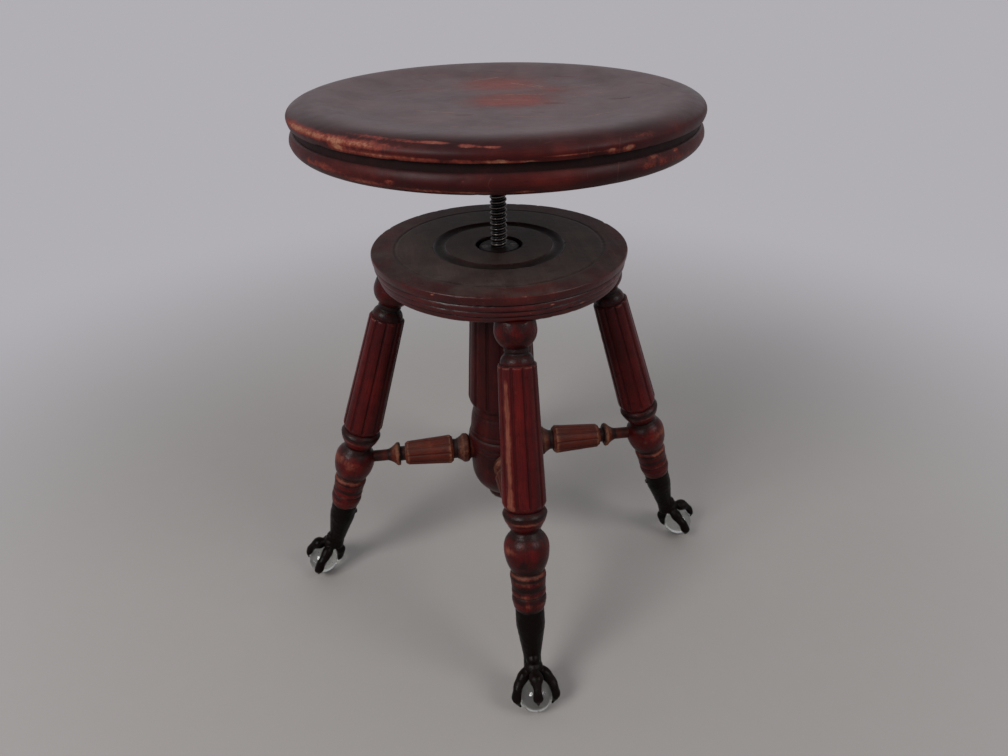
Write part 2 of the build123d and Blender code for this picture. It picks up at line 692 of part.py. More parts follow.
stretcher_taper = (stretcher_barrel_radius - stretcher_barrel_end_radius) / stretcher_barrel_length
stretcher_groove_out = stretcher_chamfer_length + stretcher_waist_length / 2
stretcher_groove_in = stretcher_chamfer_length + stretcher_neck_length / 2
stretcher_outer_radius = stretcher_barrel_end_radius - stretcher_taper * stretcher_groove_out
stretcher_groove_circle = stretcher_outer_radius - stretcher_groove_depth + stretcher_groove_radius
stretcher_groove_run = stretcher_groove_in + stretcher_barrel_length + stretcher_groove_out
stretcher_groove_end = stretcher_barrel_start + stretcher_groove_run - stretcher_neck_length / 2

with BuildPart() as stretcher:
    with BuildSketch(stretcher_side):
        make_face(turned_outline([
            (stretcher_tenon_radius, stretcher_start - stretcher_tenon_length, 0),
            (stretcher_tenon_radius, stretcher_start, 0),
            *turning(stretcher_start, 1, stretcher_mouldings),
            (stretcher_thin_radius, stretcher_bead_end, 0),
            (stretcher_thin_radius, stretcher_end, 0),
        ]))
    revolve(axis=Axis(stretcher_frame.origin, stretcher_frame.z_dir))
    with Locations(stretcher_frame.offset(stretcher_groove_end)):
        with PolarLocations(stretcher_groove_circle, stretcher_groove_count):
            cutter = groove_cutter(stretcher_groove_radius, stretcher_groove_run, stretcher_taper)
            add(cutter, mode=Mode.SUBTRACT)

export_at_each_place(stretcher.part, "stretcher")

# ---------------------------------------------------------------- claw feet

with BuildPart() as claw_foot:
    with BuildSketch(leg_side):
        make_face(turned_outline(turning(-leg_length, -1, [(ferrule, ferrule_length, ferrule_radius)])))
    revolve(axis=leg_axis)
    for *place, half_thickness in palm_and_wrist:
        with Locations(ball_centre + Vector(*place) * ball_radius):
            Sphere(half_thickness * ball_radius)
    add(toe(outer_toe))
    add(toe(inner_toe))
    add(toe(side_toe))
    add(toe(side_toe).mirror(Plane.XZ))
    with Locations(ball_centre):
        Sphere(ball_radius + ball_gap, mode=Mode.SUBTRACT)
    with BuildSketch(leg_side):
        make_face(turned_outline([
            (leg_toe_radius + glue_gap, -leg_length, 0),
            (leg_toe_radius - leg_toe_taper + glue_gap, -leg_length - leg_toe_length - bore_bottom_gap, 0),
        ]))
    revolve(axis=leg_axis, mode=Mode.SUBTRACT)
    add(rod(nail_frame, nail_diameter / 2 + pin_gap, 0, ferrule_radius), mode=Mode.SUBTRACT)

export_at_each_place(claw_foot.part, "claw_foot")

# ---------------------------------------------------------------- glass balls

with BuildPart() as glass_ball:
    with Locations(ball_centre):
        Sphere(ball_radius)

export_at_each_place(glass_ball.part, "glass_ball")

# ---------------------------------------------------------------- nails in the ferrules

with BuildPart() as nail:
    with BuildSketch(Plane.XZ):
        make_face(turned_outline([
            (nail_diameter / 2, nail_start, 0),
            (nail_diameter / 2, ferrule_radius, 0),
            (nail_head_diameter / 2, ferrule_radius, 0),
            (nail_head_diameter / 4, ferrule_radius + nail_head_height, nail_head_height / 5),
        ]))
    revolve(axis=Axis.Z)

with BuildPart() as ferrule_nails:
    with PolarLocations(0, 4):
        with Locations(nail_frame):
            add(nail.part)

ferrule_nails.part.label = "ferrule_nails"
export_step(ferrule_nails.part, "parts/ferrule_nails.step")
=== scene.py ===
import math
from functools import reduce

import bpy
import numpy as np
from mathutils import Matrix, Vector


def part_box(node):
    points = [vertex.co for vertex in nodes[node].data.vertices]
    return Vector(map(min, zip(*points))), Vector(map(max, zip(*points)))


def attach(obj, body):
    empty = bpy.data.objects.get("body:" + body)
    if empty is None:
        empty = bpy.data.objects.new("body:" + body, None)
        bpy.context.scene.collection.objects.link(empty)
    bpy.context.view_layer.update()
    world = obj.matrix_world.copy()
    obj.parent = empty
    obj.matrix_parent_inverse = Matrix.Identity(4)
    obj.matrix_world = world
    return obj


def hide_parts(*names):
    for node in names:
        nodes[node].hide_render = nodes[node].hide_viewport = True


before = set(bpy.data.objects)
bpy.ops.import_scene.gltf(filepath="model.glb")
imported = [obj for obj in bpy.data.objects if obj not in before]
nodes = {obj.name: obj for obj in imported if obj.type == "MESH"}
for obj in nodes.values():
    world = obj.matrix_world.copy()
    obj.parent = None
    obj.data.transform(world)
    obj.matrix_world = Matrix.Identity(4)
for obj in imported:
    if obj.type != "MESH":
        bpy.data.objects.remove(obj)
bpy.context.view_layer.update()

# Lengths are millimetres here, as on a drawing, and metres in the meshes.
MM = 0.001
PLACES = {"right": 0, "rear": 90, "left": 180, "front": 270}

# ---------------- sizes of the turned pieces

BASE_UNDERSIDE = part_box("base_disc")[0].z / MM
SEAT_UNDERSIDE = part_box("seat")[0].z / MM
SEAT_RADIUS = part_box("seat")[1].x / MM
BASE_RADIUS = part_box("base_disc")[1].x / MM

SPLAY = math.radians(16.9)
LEG_CIRCLE = 100
STRETCHER_HEIGHT = 159.25
STRETCHER_START = 37.5
STRETCHER_END = 157.8
BALL_CENTRE = (217.36, 0, 16)
BALL_RADIUS = 16

# A moulding is (share of its length, share of its radius, swell), as on the wood turner's drawing.
PLAIN = [(1, 1, 0)]
SEAT_FOOT = [(0, 0.933, 0), (0.54, 1, 0.015), (0.96, 0.984, 0.004), (1, 0.975, 0)]
BASE_EDGE = [
    (0, 0.931, 0), (0.215, 0.953, 0.01), (0.225, 0.946, 0),
    (0.245, 0.961, 0), (0.425, 0.962, 0.007), (0.435, 0.957, 0),
    (0.455, 0.976, 0), (0.655, 0.977, 0.008), (0.665, 0.972, 0),
    (0.685, 0.985, 0), (0.945, 0.999, 0.004), (1, 0.987, 0.004),
]
POST_CHAMFER = [(0.2, 0.99, 0), (1, 0.87, 0.01)]
POST_NECK = [(0.28, 0.87, 0), (0.4, 0.9, 0.005), (1, 0.96, 0.015)]
POST_RINGS = [
    (0.02, 0.92, 0), (0.24, 0.94, 0.012), (0.27, 0.925, 0), (0.3, 0.955, 0),
    (0.5, 1, 0.006), (0.66, 0.985, 0.004), (0.69, 0.94, 0), (0.73, 0.955, 0),
    (0.96, 0.955, 0.012), (1, 0.94, 0),
]
POST_HUB = [(0.02, 0.99, 0), (0.57, 0.965, 0.012), (0.97, 0.64, 0.062), (1, 0.6, 0)]
POST_BUTTON = [(0, 0.98, 0), (0.4, 1, 0.02), (0.95, 0.45, 0.14), (1, 0.38, 0)]
ACORN = [(-0.2, 0.8, 0), (0.4, 1, 0.03), (0.87, 0.62, 0.1), (0.9, 0.58, 0), (1, 0.59, 0)]
SHOULDER = [(0.16, 0.62, -0.02), (0.22, 0.67, 0), (0.84, 0.85, 0.05), (0.88, 0.93, 0), (1, 0.99, 0.01)]
LEG_CHAMFER = [(0.15, 0.99, 0), (1, 0.83, 0.01)]
COLLAR = [
    (0, 0.83, 0), (0.17, 0.985, 0.02), (0.27, 0.985, 0.012), (0.56, 0.885, 0.01), (0.6, 0.85, 0),
    (0.92, 0.67, 0.012), (1, 0.65, 0),
]
VASE = [(0.1, 0.745, 0), (0.41, 1, 0.065), (1, 0.715, 0.085)]
RING = [(0, 0.87, 0), (0.42, 0.97, 0.05), (0.45, 0.945, 0), (1, 0.91, 0.01)]
BEAD = [(0.05, 0.95, 0), (0.95, 0.95, 0.035), (1, 0.93, 0)]
FOOT = [(0.05, 0.955, 0), (0.55, 0.955, 0.04), (1, 0.845, 0.02)]
NECK = [(0, 1, 0), (1, 1, 0)]
BARREL_START = [(0, 0.82, 0), (1, 1, 0)]
BARREL_END = [(1, 0.82, 0)]
STRETCHER_COLLAR = [(0, 0.78, 0), (0.32, 1, 0.06), (0.54, 0.98, 0.01), (0.96, 0.72, -0.03)]
STRETCHER_BEAD = [(0, 0.9, 0), (0.18, 1, 0.03), (0.35, 0.93, 0.02), (1, 0.5, -0.05)]

LEG_MOULDINGS = [
    (ACORN, 31.4, 19.2), (SHOULDER, 12.6, 17.9), (PLAIN, 127.4, 20.8), (LEG_CHAMFER, 7.3, 20.8),
    (COLLAR, 22, 21), (VASE, 40.7, 21.4), (RING, 16.6, 17.6), (BEAD, 7.4, 16.6), (FOOT, 15.6, 16.6),
]
STRETCHER_MOULDINGS = [
    (STRETCHER_COLLAR, 14.4, 16), (NECK, 4.2, 10.8), (BARREL_START, 3.2, 16.1),
    (PLAIN, 46.2, 13.4), (BARREL_END, 3.2, 13.4), (NECK, 5.4, 8), (STRETCHER_BEAD, 13.1, 12.9),
]
POST_MOULDINGS = [
    (PLAIN, 141.78, 36.1), (POST_CHAMFER, 9, 36.1), (POST_NECK, 28, 36),
    (POST_RINGS, 25, 37.4), (POST_HUB, 58, 36), (POST_BUTTON, 17, 17.6),
]

# Grooves: their number, the radius of the cutter, the circle that its middle keeps to, how much that
# circle grows in each millimetre, and where the grooves begin and end.
POST_GROOVES = (14, 2, 29.3, 7.1 / 141.78, 0, 150.8)
LEG_GROOVES = (10, 1.8, 17.91, 2.9 / 127.4, 31.4, 178.7)
STRETCHER_GROOVES = (10, 1.5, 16.81, -2.7 / 46.2, 54, 111.4)

# ---------------- numbers that look random

lattice = np.random.default_rng(11).random((40, 40, 40)) * 2 - 1


def smooth_step(value, low, high):
    share = np.clip((value - low) / (high - low), 0, 1)
    return share * share * (3 - 2 * share)


def value_noise(points, size, shift=0):
    """Smooth numbers from -1 to 1 that change over a size, the same on every run."""
    scaled = points / size + shift
    cell = np.floor(scaled).astype(int)
    share = smooth_step(scaled - cell, 0, 1)
    total = 0
    for corner in np.ndindex(2, 2, 2):
        index = (cell + corner) % lattice.shape[0]
        weight = np.prod(np.where(corner, share, 1 - share), axis=-1)
        total = total + weight * lattice[index[..., 0], index[..., 1], index[..., 2]]
    return total


def bell(value, middle, half):
    """1 at the middle, about a third at half away from it, and next to nothing at twice that."""
    return np.exp(-((value - middle) / half) ** 2)


# ---------------- outlines

CURVE_STEP = math.radians(5)


def cut(start, end, swell, step):
    """Points after start up to end, on a straight cut or on a round one that swells out of it."""
    along = np.subtract(end, start)
    length = np.hypot(*along)
    if length < 1e-9:
        return []
    outward = 1 if along[0] > 0 or (along[0] == 0 and along[1] < 0) else -1
    normal = np.array([-along[1], along[0]]) / length * outward
    half_turn = 2 * math.atan2(2 * abs(swell), length)
    count = max(1, math.ceil(length / step), math.ceil(half_turn / CURVE_STEP))
    run = np.arange(1, count + 1)[:, None] / count
    rise = 0
    if swell:
        radius = length / (2 * math.sin(half_turn))
        angle = half_turn * (2 * run - 1)
        run = 0.5 + radius * np.sin(angle) / length
        rise = radius * (np.cos(angle) - math.cos(half_turn)) * np.sign(swell)
    return [*(start + along * run + normal * rise)]


def outline_of(corners, step=1.2):
    """Corners (distance, radius, swell) joined by cuts, as rows of (distance, radius)."""
    points = [np.array(corners[0][:2], float)]
    for last, corner in zip(corners, corners[1:]):
        points += cut(last[:2], corner[:2], corner[2], step)
    return np.array(points)


def corners_of(mouldings, start=0):
    corners = []
    for shape, length, radius in mouldings:
        for along, out, swell in shape:
            corners.append((start + length * along, radius * out, radius * swell))
        start += length
    return corners


# ---------------- turned meshes

def add_object(name, data):
    made = bpy.data.objects.new(name, data)
    bpy.context.scene.collection.objects.link(made)
    return made


def add_piece(mesh, body, replaced):
    """An object of the mesh's name that rides on a body in place of a CAD node."""
    piece = add_object(mesh.name, mesh)
    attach(piece, body)
    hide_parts(replaced)
    return piece


def mesh_piece(name, points, faces, attributes, body, replaced, sharp=32):
    """A smooth mesh from points in millimetres, with numbers or vectors for each point."""
    mesh = bpy.data.meshes.new(name)
    mesh.from_pydata((points * MM).tolist(), [], faces)
    mesh.shade_smooth()
    mesh.set_sharp_from_angle(angle=math.radians(sharp))
    for key, values in attributes.items():
        kind, part = ("FLOAT_VECTOR", "vector") if values.ndim == 2 else ("FLOAT", "value")
        mesh.attributes.new(key, kind, "POINT").data.foreach_set(part, values.ravel())
    mesh.update()
    return add_piece(mesh, body, replaced)


def grid_faces(shape, ring=False):
    """Quads between the rows of a grid of points, and fans at its ends to the two points after them."""
    corner = np.arange(shape[0] * shape[1]).reshape(shape)
    beside = np.roll(corner, -1, 1)
    quads = np.stack([corner, beside, np.roll(beside, -1, 0), np.roll(corner, -1, 0)], axis=-1)
    if ring:
        return quads.reshape(-1, 4).tolist()
    faces = quads[:-1].reshape(-1, 4).tolist()
    faces += [[corner.size, b, a] for a, b in zip(corner[0], beside[0])]
    return faces + [[corner.size + 1, a, b] for a, b in zip(corner[-1], beside[-1])]


def groove_columns(distance, radius, grooves, phase):
    """The angle and hollow radius of each column of one row of a reeded piece.

    The columns keep to the edges of the grooves. A rib between two grooves is a little rounder than
    the turned shaft that it was cut from.
    """
    count, cutter, circle, taper, first, last = grooves
    pitch = 2 * math.pi / count
    middle = circle + taper * (distance - first)
    half = 0
    if first <= distance <= last and cutter > abs(middle - radius) and radius > 1:
        cosine = (radius ** 2 + middle ** 2 - cutter ** 2) / (2 * radius * middle)
        half = math.acos(min(1, cosine))
    used = max(half, pitch * 0.06)
    inside = np.linspace(-1, 1, 7) * used
    rib = used + (pitch - 2 * used) * np.array([0.08, 0.2, 0.36, 0.5, 0.64, 0.8, 0.92])
    offsets = np.concatenate([inside, rib])
    across = np.where(offsets > pitch / 2, offsets - pitch, offsets)
    under = cutter ** 2 - (middle * np.sin(across)) ** 2
    hollow = np.where(
        (under > 0) & (half > 0), middle * np.cos(across) - np.sqrt(np.maximum(under, 0)), np.inf,
    )
    share = (np.abs(across) - used) / (pitch / 2 - used)
    rounding = np.where(share >= 0, (1 - share) ** 2, 1) * 0.32 * (half > 0)
    angles = (np.arange(count)[:, None] * pitch + offsets + phase).ravel()
    return angles, np.tile(np.minimum(hollow, radius - rounding), count)


# A rounded edge shows its wear, and a cavity its dirt and painted shade, this far along the outline.
EDGE_REACH = 1.1
# The bends, in radians, that count as a full edge and a full cavity.
FULL_EDGE, FULL_CAVITY = 1.1, 1.3
CHIP_DEPTH = 0.55
DENT_DEPTH = 0.16


def turned_piece(name, outline, vectors, body, replaced, rub, patch=None, marks=None,
                 grooves=None, phase=0, columns=180, wobble=0.12, ceiling=None, ring=False):
    """A turned and perhaps reeded piece, with hand-made unevenness, chips and dents cut inwards.

    vectors are the origin, the axis and the two directions across it. rub, patch and marks are each
    asked for a number at (distance, radius, angle). rub is how worn a place is, and on the front leg
    one rib's rub is a painted highlight streak. patch is where the seat's top is worn through, or where
    a leg, the post or a stretcher is painted dark with painted shade and dirt. marks is more depth. A
    ring's outline comes back to where it starts, so the piece has a hole through it.
    """
    origin, axis, first_side, second_side = (np.array(v, float) for v in vectors)
    steps = np.diff(outline, axis=0)
    lengths = np.hypot(steps[:, 0], steps[:, 1])
    headings = np.unwrap(np.arctan2(steps[:, 1], steps[:, 0]))
    travelled = np.concatenate([[0], np.cumsum(lengths)])
    bend = np.concatenate([[0], -np.diff(headings), [0]])
    near = bell(travelled[:, None], travelled, EDGE_REACH)
    edge = np.clip(near @ np.clip(bend, 0, None) / FULL_EDGE, 0, 1)
    cavity = np.clip(near @ np.clip(-bend, 0, None) / FULL_CAVITY, 0, 1)
    heading = np.interp(travelled, (travelled[1:] + travelled[:-1]) / 2, headings)
    normals = np.stack([-np.sin(heading), np.cos(heading)], axis=1)

    rows = []
    for distance, radius in outline:
        if grooves:
            rows.append(groove_columns(distance, radius, grooves, math.radians(phase)))
        else:
            angles = np.arange(columns) * 2 * math.pi / columns
            rows.append((angles, np.full(columns, radius)))
    angle = np.array([row[0] for row in rows])
    radius = np.array([row[1] for row in rows])
    distance = np.repeat(outline[:, :1], angle.shape[1], axis=1)
    hollow = outline[:, 1:] - radius

    seed = sum(ord(letter) * (i + 3) for i, letter in enumerate(name)) % 977
    across = np.stack([radius * np.cos(angle), radius * np.sin(angle), distance], axis=-1)
    uneven = value_noise(across, 26, seed) + 0.5 * value_noise(across, 9, seed + 5)
    edges = edge[:, None] * bell(hollow, 0, 0.7)
    chipped = smooth_step(value_noise(across, 4.5, seed + 9) + 0.6 * value_noise(across, 14, seed), 0.35, 0.9)
    dented = smooth_step(value_noise(across, 7, seed + 21), 0.55, 0.85)
    depth = wobble * (0.5 + 0.5 * uneven) + CHIP_DEPTH * chipped * edges + DENT_DEPTH * dented
    if marks:
        depth = depth + marks(distance, radius, angle)
    moved = distance - depth * normals[:, :1]
    out = np.maximum(radius - depth * normals[:, 1:], 0)

    points = (
        origin + moved[..., None] * axis
        + (out * np.cos(angle))[..., None] * first_side
        + (out * np.sin(angle))[..., None] * second_side
    ).reshape(-1, 3)
    if ceiling is not None:
        points[:, 2] = np.minimum(points[:, 2], ceiling)
    ends = np.zeros((0, 3)) if ring else origin + outline[[0, -1], :1] * axis
    faces = grid_faces(angle.shape, ring)
    if np.dot(np.cross(first_side, second_side), axis) < 0:
        faces = [face[::-1] for face in faces]
    fields = {
        "edge": edges,
        "cavity": cavity[:, None] * np.ones_like(edges),
        "hollow": np.clip(hollow - 0.3, 0, 1),
        "rub": rub(distance, radius, angle),
        "patch": patch(distance, radius, angle) if patch else np.zeros_like(edges),
    }
    attributes = {"local": np.concatenate([across.reshape(-1, 3), 0 * ends]) * MM}
    for key, field in fields.items():
        attributes[key] = np.append(field, [0] * len(ends))
    return mesh_piece(name, np.concatenate([points, ends]), faces, attributes, body, replaced)


def turned_about_z(vector, degrees):
    x, y, z = vector
    c, s = math.cos(math.radians(degrees)), math.sin(math.radians(degrees))
    return (x * c - y * s, x * s + y * c, z)


def bands(*places):
    """What turned_piece asks for: bands (middle, half width, amount) along a piece, added up."""
    return lambda distance, *_: sum(amount * bell(distance, middle, half) for middle, half, amount in places)


def spots(distance, angle, circle, places):
    """Spots (degrees, height, half width, half height, amount) on a rim, added up.

    circle is the radius of the circle that the half widths are measured along.
    """
    total = 0
    for middle, height, half, half_height, amount in places:
        along = np.radians((np.degrees(angle) - middle + 180) % 360 - 180) * circle
        total = total + amount * bell(along, 0, half) * bell(distance, height, half_height)
    return total


def worn_chips(chips, amount):
    """The chips' spots with one amount of wear in place of their depths."""
    return [(*chip[:4], amount) for chip in chips]


# ---------------- seat

# Heights above the underside: the groove under the rim, the lip over it, the roll and the crest.
GROOVE_FOOT, GROOVE_TOP = 17.5, 24.1
GROOVE_DEPTH = 4.5
LIP_TOP = 27.6
ROLL_FOOT = 29
SEAT_TOP = 39
ROLL_WIDTH = 22
SEAT_CREST = SEAT_RADIUS - ROLL_WIDTH
DISH_DEPTH = 7
DISH_SLOPE = 50

# Gouges in the top: from, to, half width, depth. Places are from the middle of the seat.
GOUGES = [
    ((38, -24), (54, -28), 1.3, 0.7), ((96, -20), (113, -19), 1.4, 0.8), ((148, 2), (150, -14), 1.2, 0.6),
    ((-38, -57), (-27, -58), 1.5, 0.7), ((134, 26), (142, 6), 1, 0.4), ((23, -57), (31, -63), 0.9, 0.5),
    ((-96, 40), (-80, 62), 1, 0.5), ((-60, 108), (-48, 96), 1.2, 0.5), ((70, 96), (88, 84), 1.1, 0.5),
    ((-120, -18), (-112, -30), 1, 0.4), ((10, 128), (22, 122), 1, 0.5),
]
# Chips out of the rim: angle, height above the underside, half width along, half height, depth.
CHIPS = [
    (-111, 36.4, 9, 0.7, 0.35), (-104, 35.2, 6, 0.7, 0.4), (-98, 34.4, 6, 0.7, 0.4),
    (-96.4, 25.6, 3.5, 1.2, 0.8), (-89.5, 24.6, 6, 1, 0.6), (-70.8, 27.6, 2.6, 1.8, 0.8),
    (-65.5, 27.4, 3.5, 2, 0.7), (-56.8, 16.5, 4, 1.4, 0.9), (-48, 15.6, 4, 1.4, 0.9),
    (-104.7, 12, 3.5, 1.2, 0.6), (-137, 28, 6, 1.6, 0.5), (-122, 9, 6, 2, 0.5),
    (-20, 27, 4, 1.6, 0.7), (28, 25, 5, 1.4, 0.6), (75, 30, 4, 2, 0.6),
    (118, 26, 5, 1.5, 0.7), (160, 12, 4, 1.5, 0.7), (50, 10, 5, 1.5, 0.6),
]
# Rubbed places on the rim: angle, height, half angle, half height, amount.
RIM_WEAR = [
    (-158, 31.5, 13, 4, 0.86), (-141, 32, 14, 3.5, 0.66), (-126, 32.5, 13, 3.5, 0.6),
    (-128, 36.6, 10, 0.8, 0.62), (-112, 36.2, 9, 0.7, 0.6), (-101, 34.8, 6, 0.7, 0.6),
    (-122, 26.2, 22, 1.7, 0.95), (-96, 25.4, 7, 1.3, 0.8), (-81, 27.4, 9, 0.7, 0.95),
    (-146, 10, 10, 5, 0.7), (-129, 5.5, 9, 2.4, 0.88), (-114, 4.2, 6, 1.6, 1),
    (-103, 3.8, 6, 1.4, 1.05), (-91, 4, 4, 1.3, 0.95),
    (-62, 33.5, 8, 3.6, 0.56), (-66, 26.4, 7, 1.8, 0.66), (-58, 12, 9, 5, 0.7), (-44, 9, 10, 5, 0.45),
    (20, 30, 18, 5, 0.55), (95, 32, 14, 4, 0.6), (-30, 26, 12, 1.6, 0.62),
    (150, 30, 20, 4, 0.6), (60, 8, 22, 5, 0.55), (130, 8, 14, 5, 0.6), (-20, 8, 14, 4, 0.55),
]
# The worn middle of the top: middle, half widths, amount.
SEAT_PATCHES = [(13, -4, 42, 36, 1), (14, 74, 46, 46, 0.85), (52, 32, 38, 34, 0.55), (-50, 70, 46, 34, 0.3)]


def up_frame(height):
    """The origin, axis and sides of a board that lies on a height."""
    return ((0, 0, height), (0, 0, 1), (1, 0, 0), (0, 1, 0))


def roll():
    """Corners of the soft roll from the side up to the crest, a quarter of a flat oval."""
    return [
        (ROLL_FOOT + (SEAT_TOP - ROLL_FOOT) * math.sin(turn), SEAT_CREST + ROLL_WIDTH * math.cos(turn), 0)
        for turn in np.radians(np.linspace(0, 90, 19)[1:])
    ]


def dish():
    """Corners of the slope from the crest of the rim down to the flat, at even shares of its width."""
    return [
        (SEAT_TOP - DISH_DEPTH * smooth_step(share, 0, 1), SEAT_CREST - DISH_SLOPE * share, 0)
        for share in np.linspace(0, 1, 31)[1:]
    ]


def seat_marks(distance, radius, angle):
    x, y = radius * np.cos(angle), radius * np.sin(angle)
    top = distance > SEAT_TOP - DISH_DEPTH - 1
    side = radius > SEAT_CREST - 6
    total = spots(distance, angle, SEAT_RADIUS, CHIPS) * side
    for (x0, y0), (x1, y1), half, depth in GOUGES:
        run = np.array([x1 - x0, y1 - y0], float)
        share = np.clip(((x - x0) * run[0] + (y - y0) * run[1]) / (run @ run), 0, 1)
        away = np.hypot(x - x0 - share * run[0], y - y0 - share * run[1])
        total = total + depth * bell(away, 0, half) * top
    return total


def seat_rub(distance, radius, angle):
    worn = spots(distance, angle, math.degrees(1), RIM_WEAR)
    worn = worn + spots(distance, angle, SEAT_RADIUS, worn_chips(CHIPS, 0.9))
    return np.clip(worn * (radius > SEAT_CREST - 8), 0, 1.2)


def seat_patch(distance, radius, angle):
    """Where players have worn the middle of the seat down to the stain: one place in two parts."""
    x, y = radius * np.cos(angle), radius * np.sin(angle)
    total = np.zeros_like(x)
    for middle_x, middle_y, half_x, half_y, amount in SEAT_PATCHES:
        away = ((x - middle_x) / half_x) ** 2 + ((y - middle_y) / half_y) ** 2
        total = np.maximum(total, amount * np.exp(-away))
    return total * (distance > SEAT_TOP - DISH_DEPTH - 2)


seat_corners = [
    (0, 0, 0), *corners_of([(SEAT_FOOT, GROOVE_FOOT, SEAT_RADIUS)]),
    (GROOVE_FOOT, SEAT_RADIUS - GROOVE_DEPTH, 0), (GROOVE_TOP, SEAT_RADIUS - GROOVE_DEPTH, 0),
    (GROOVE_TOP, SEAT_RADIUS - 1.2, 0), (LIP_TOP, SEAT_RADIUS - 0.1, 0.08),
    (ROLL_FOOT, SEAT_RADIUS, 0), *roll(), *dish(), (SEAT_TOP - DISH_DEPTH, 0.5, 0),
]
# The flat underside has fewer rows than the rest.
seat_outline = np.concatenate([outline_of(seat_corners[:2], 4), outline_of(seat_corners[1:], 1.6)[1:]])
seat = turned_piece(
    "seat_board", seat_outline, up_frame(SEAT_UNDERSIDE), "seat_top", "seat",
    columns=420, marks=seat_marks, rub=seat_rub, wobble=0.1, patch=seat_patch,
)

# ---------------- base disc

BASE_TOP = 27
RECESS_RADIUS = 22.3
RECESS_DEPTH = 6.4
RING_RADIUS = 57
RING_HALF = 6
RING_DEPTH = 3
SCRIBED_RADIUS = 99
NUT_HOLE = 18.8
TENON_HOLE = 20.2
TENON_LENGTH = 12

# Chips out of its edge, as for the seat.
BASE_CHIPS = [
    (-104, 22, 7, 1.5, 0.6), (-76, 15, 4, 1.2, 0.6), (-60, 8, 5, 1.2, 0.6),
    (-125, 24, 4, 1.4, 0.7), (-30, 20, 5, 1.4, 0.5), (40, 24, 6, 1.5, 0.6),
    (100, 14, 5, 1.2, 0.6), (165, 23, 5, 1.5, 0.7),
]


def base_marks(distance, radius, angle):
    return spots(distance, angle, BASE_RADIUS, BASE_CHIPS) * (radius > BASE_RADIUS - 10)


def base_rub(distance, radius, angle):
    worn = spots(distance, angle, BASE_RADIUS, worn_chips(BASE_CHIPS, 0.8))
    return np.clip(worn * (radius > BASE_RADIUS - 9), 0, 1)


base_corners = [
    (0, TENON_HOLE, 0), *corners_of([(BASE_EDGE, BASE_TOP, BASE_RADIUS)]),
    (BASE_TOP, SCRIBED_RADIUS + 1.5, 0), (BASE_TOP, SCRIBED_RADIUS - 1.5, -0.45),
    (BASE_TOP, RING_RADIUS + RING_HALF, 0), (BASE_TOP, RING_RADIUS - RING_HALF, -RING_DEPTH),
    (BASE_TOP, RECESS_RADIUS, 0), (BASE_TOP - RECESS_DEPTH, RECESS_RADIUS, 0),
    (BASE_TOP - RECESS_DEPTH, NUT_HOLE, 0), (TENON_LENGTH, NUT_HOLE, 0), (TENON_LENGTH, TENON_HOLE, 0),
    (0, TENON_HOLE, 0),
]
base = turned_piece(
    "base_board", outline_of(base_corners, 1.5)[:-1], up_frame(BASE_UNDERSIDE), "stand", "base_disc",
    columns=360, marks=base_marks, rub=base_rub, wobble=0.08, ring=True,
)

# ---------------- centre post, legs and stretchers

# The post is bored for the screw's foot at the lowest seat, with some room to spare.
BORE_RADIUS = 13
SEAT_FALL = 76.3
BORE_BOTTOM = BASE_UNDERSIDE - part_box("screw_rod")[0].z / MM + SEAT_FALL + 10
TENON_RADIUS = TENON_HOLE - 0.2
post_corners = [
    (BORE_BOTTOM, 0.5, 0), (BORE_BOTTOM, BORE_RADIUS, 0), (-TENON_LENGTH, BORE_RADIUS, 0),
    (-TENON_LENGTH, TENON_RADIUS, 0), (0, TENON_RADIUS, 0), (0, 29, 0), *corners_of(POST_MOULDINGS),
]

# The post's dark bands are painted shade and dirt in its neck, at the stretchers' joints and on its button.
post = turned_piece(
    "post_turning", outline_of(post_corners, 1.5),
    ((0, 0, BASE_UNDERSIDE), (0, 0, -1), (1, 0, 0), (0, 1, 0)), "stand", "centre_post",
    grooves=POST_GROOVES, phase=5.4, rub=bands((185, 5, 0.3), (191, 2, 0.35), (208, 12, 0.15), (262, 6, 0.3)),
    patch=bands((160, 12, 0.45), (222, 26, 0.45), (272, 12, 0.5)),
)

LEG_LENGTH = sum(length for _, length, _ in LEG_MOULDINGS)
leg_corners = [*corners_of(LEG_MOULDINGS), (LEG_LENGTH, 10.2, 0), (LEG_LENGTH + 12, 9.8, 0)]


def leg_rub(distance, radius, angle, vase=0.8, ring=0.95):
    """More wear on the collar's lower band, the vase and the beads, and on the outward side."""
    outward = 0.5 + 0.5 * np.cos(angle)
    worn = bands(
        (44.5, 1.2, 0.6), (110, 60, 0.1), (174, 4, 0.4), (188.6, 2.6, 0.8), (216, 11, vase), (242, 5.5, ring),
        (251, 4, 0.55), (263, 4, 0.6), (273, 6, 0.58),
    )
    return worn(distance) * (0.62 + 0.38 * outward)


def front_leg_rub_and_highlight(distance, radius, angle):
    """The front leg also has one rib painted pale as a painted highlight, and a worn place on the left of its vase."""
    # One rib painted pale: a painted highlight.
    rib = spots(0, angle, math.degrees(1), [(-45, 0, 13, 1, 0.88)])
    rib = rib * smooth_step(distance, 42, 60) * smooth_step(-distance, -180, -172)
    vase = spots(distance, angle, math.degrees(1), [(-62, 216, 22, 6, 0.45)])
    return leg_rub(distance, radius, angle, 0.45, 0.72) + rib + vase


# Dark bands along a leg: painted shade under the base disc, in the necks and at the joints, with dirt.
LEG_DARK_BANDS = [
    (4, 9, 0.62), (20, 8, 0.55), (31, 4, 0.95), (38, 4, 0.72), (183, 5, 0.95), (198, 2, 0.6), (203, 4, 0.9),
    (210, 4, 0.35), (232, 7, 0.5), (238, 2, 0.8), (246.5, 2, 0.8), (256, 3, 0.8), (268, 3, 0.5), (281, 4, 0.7),
]
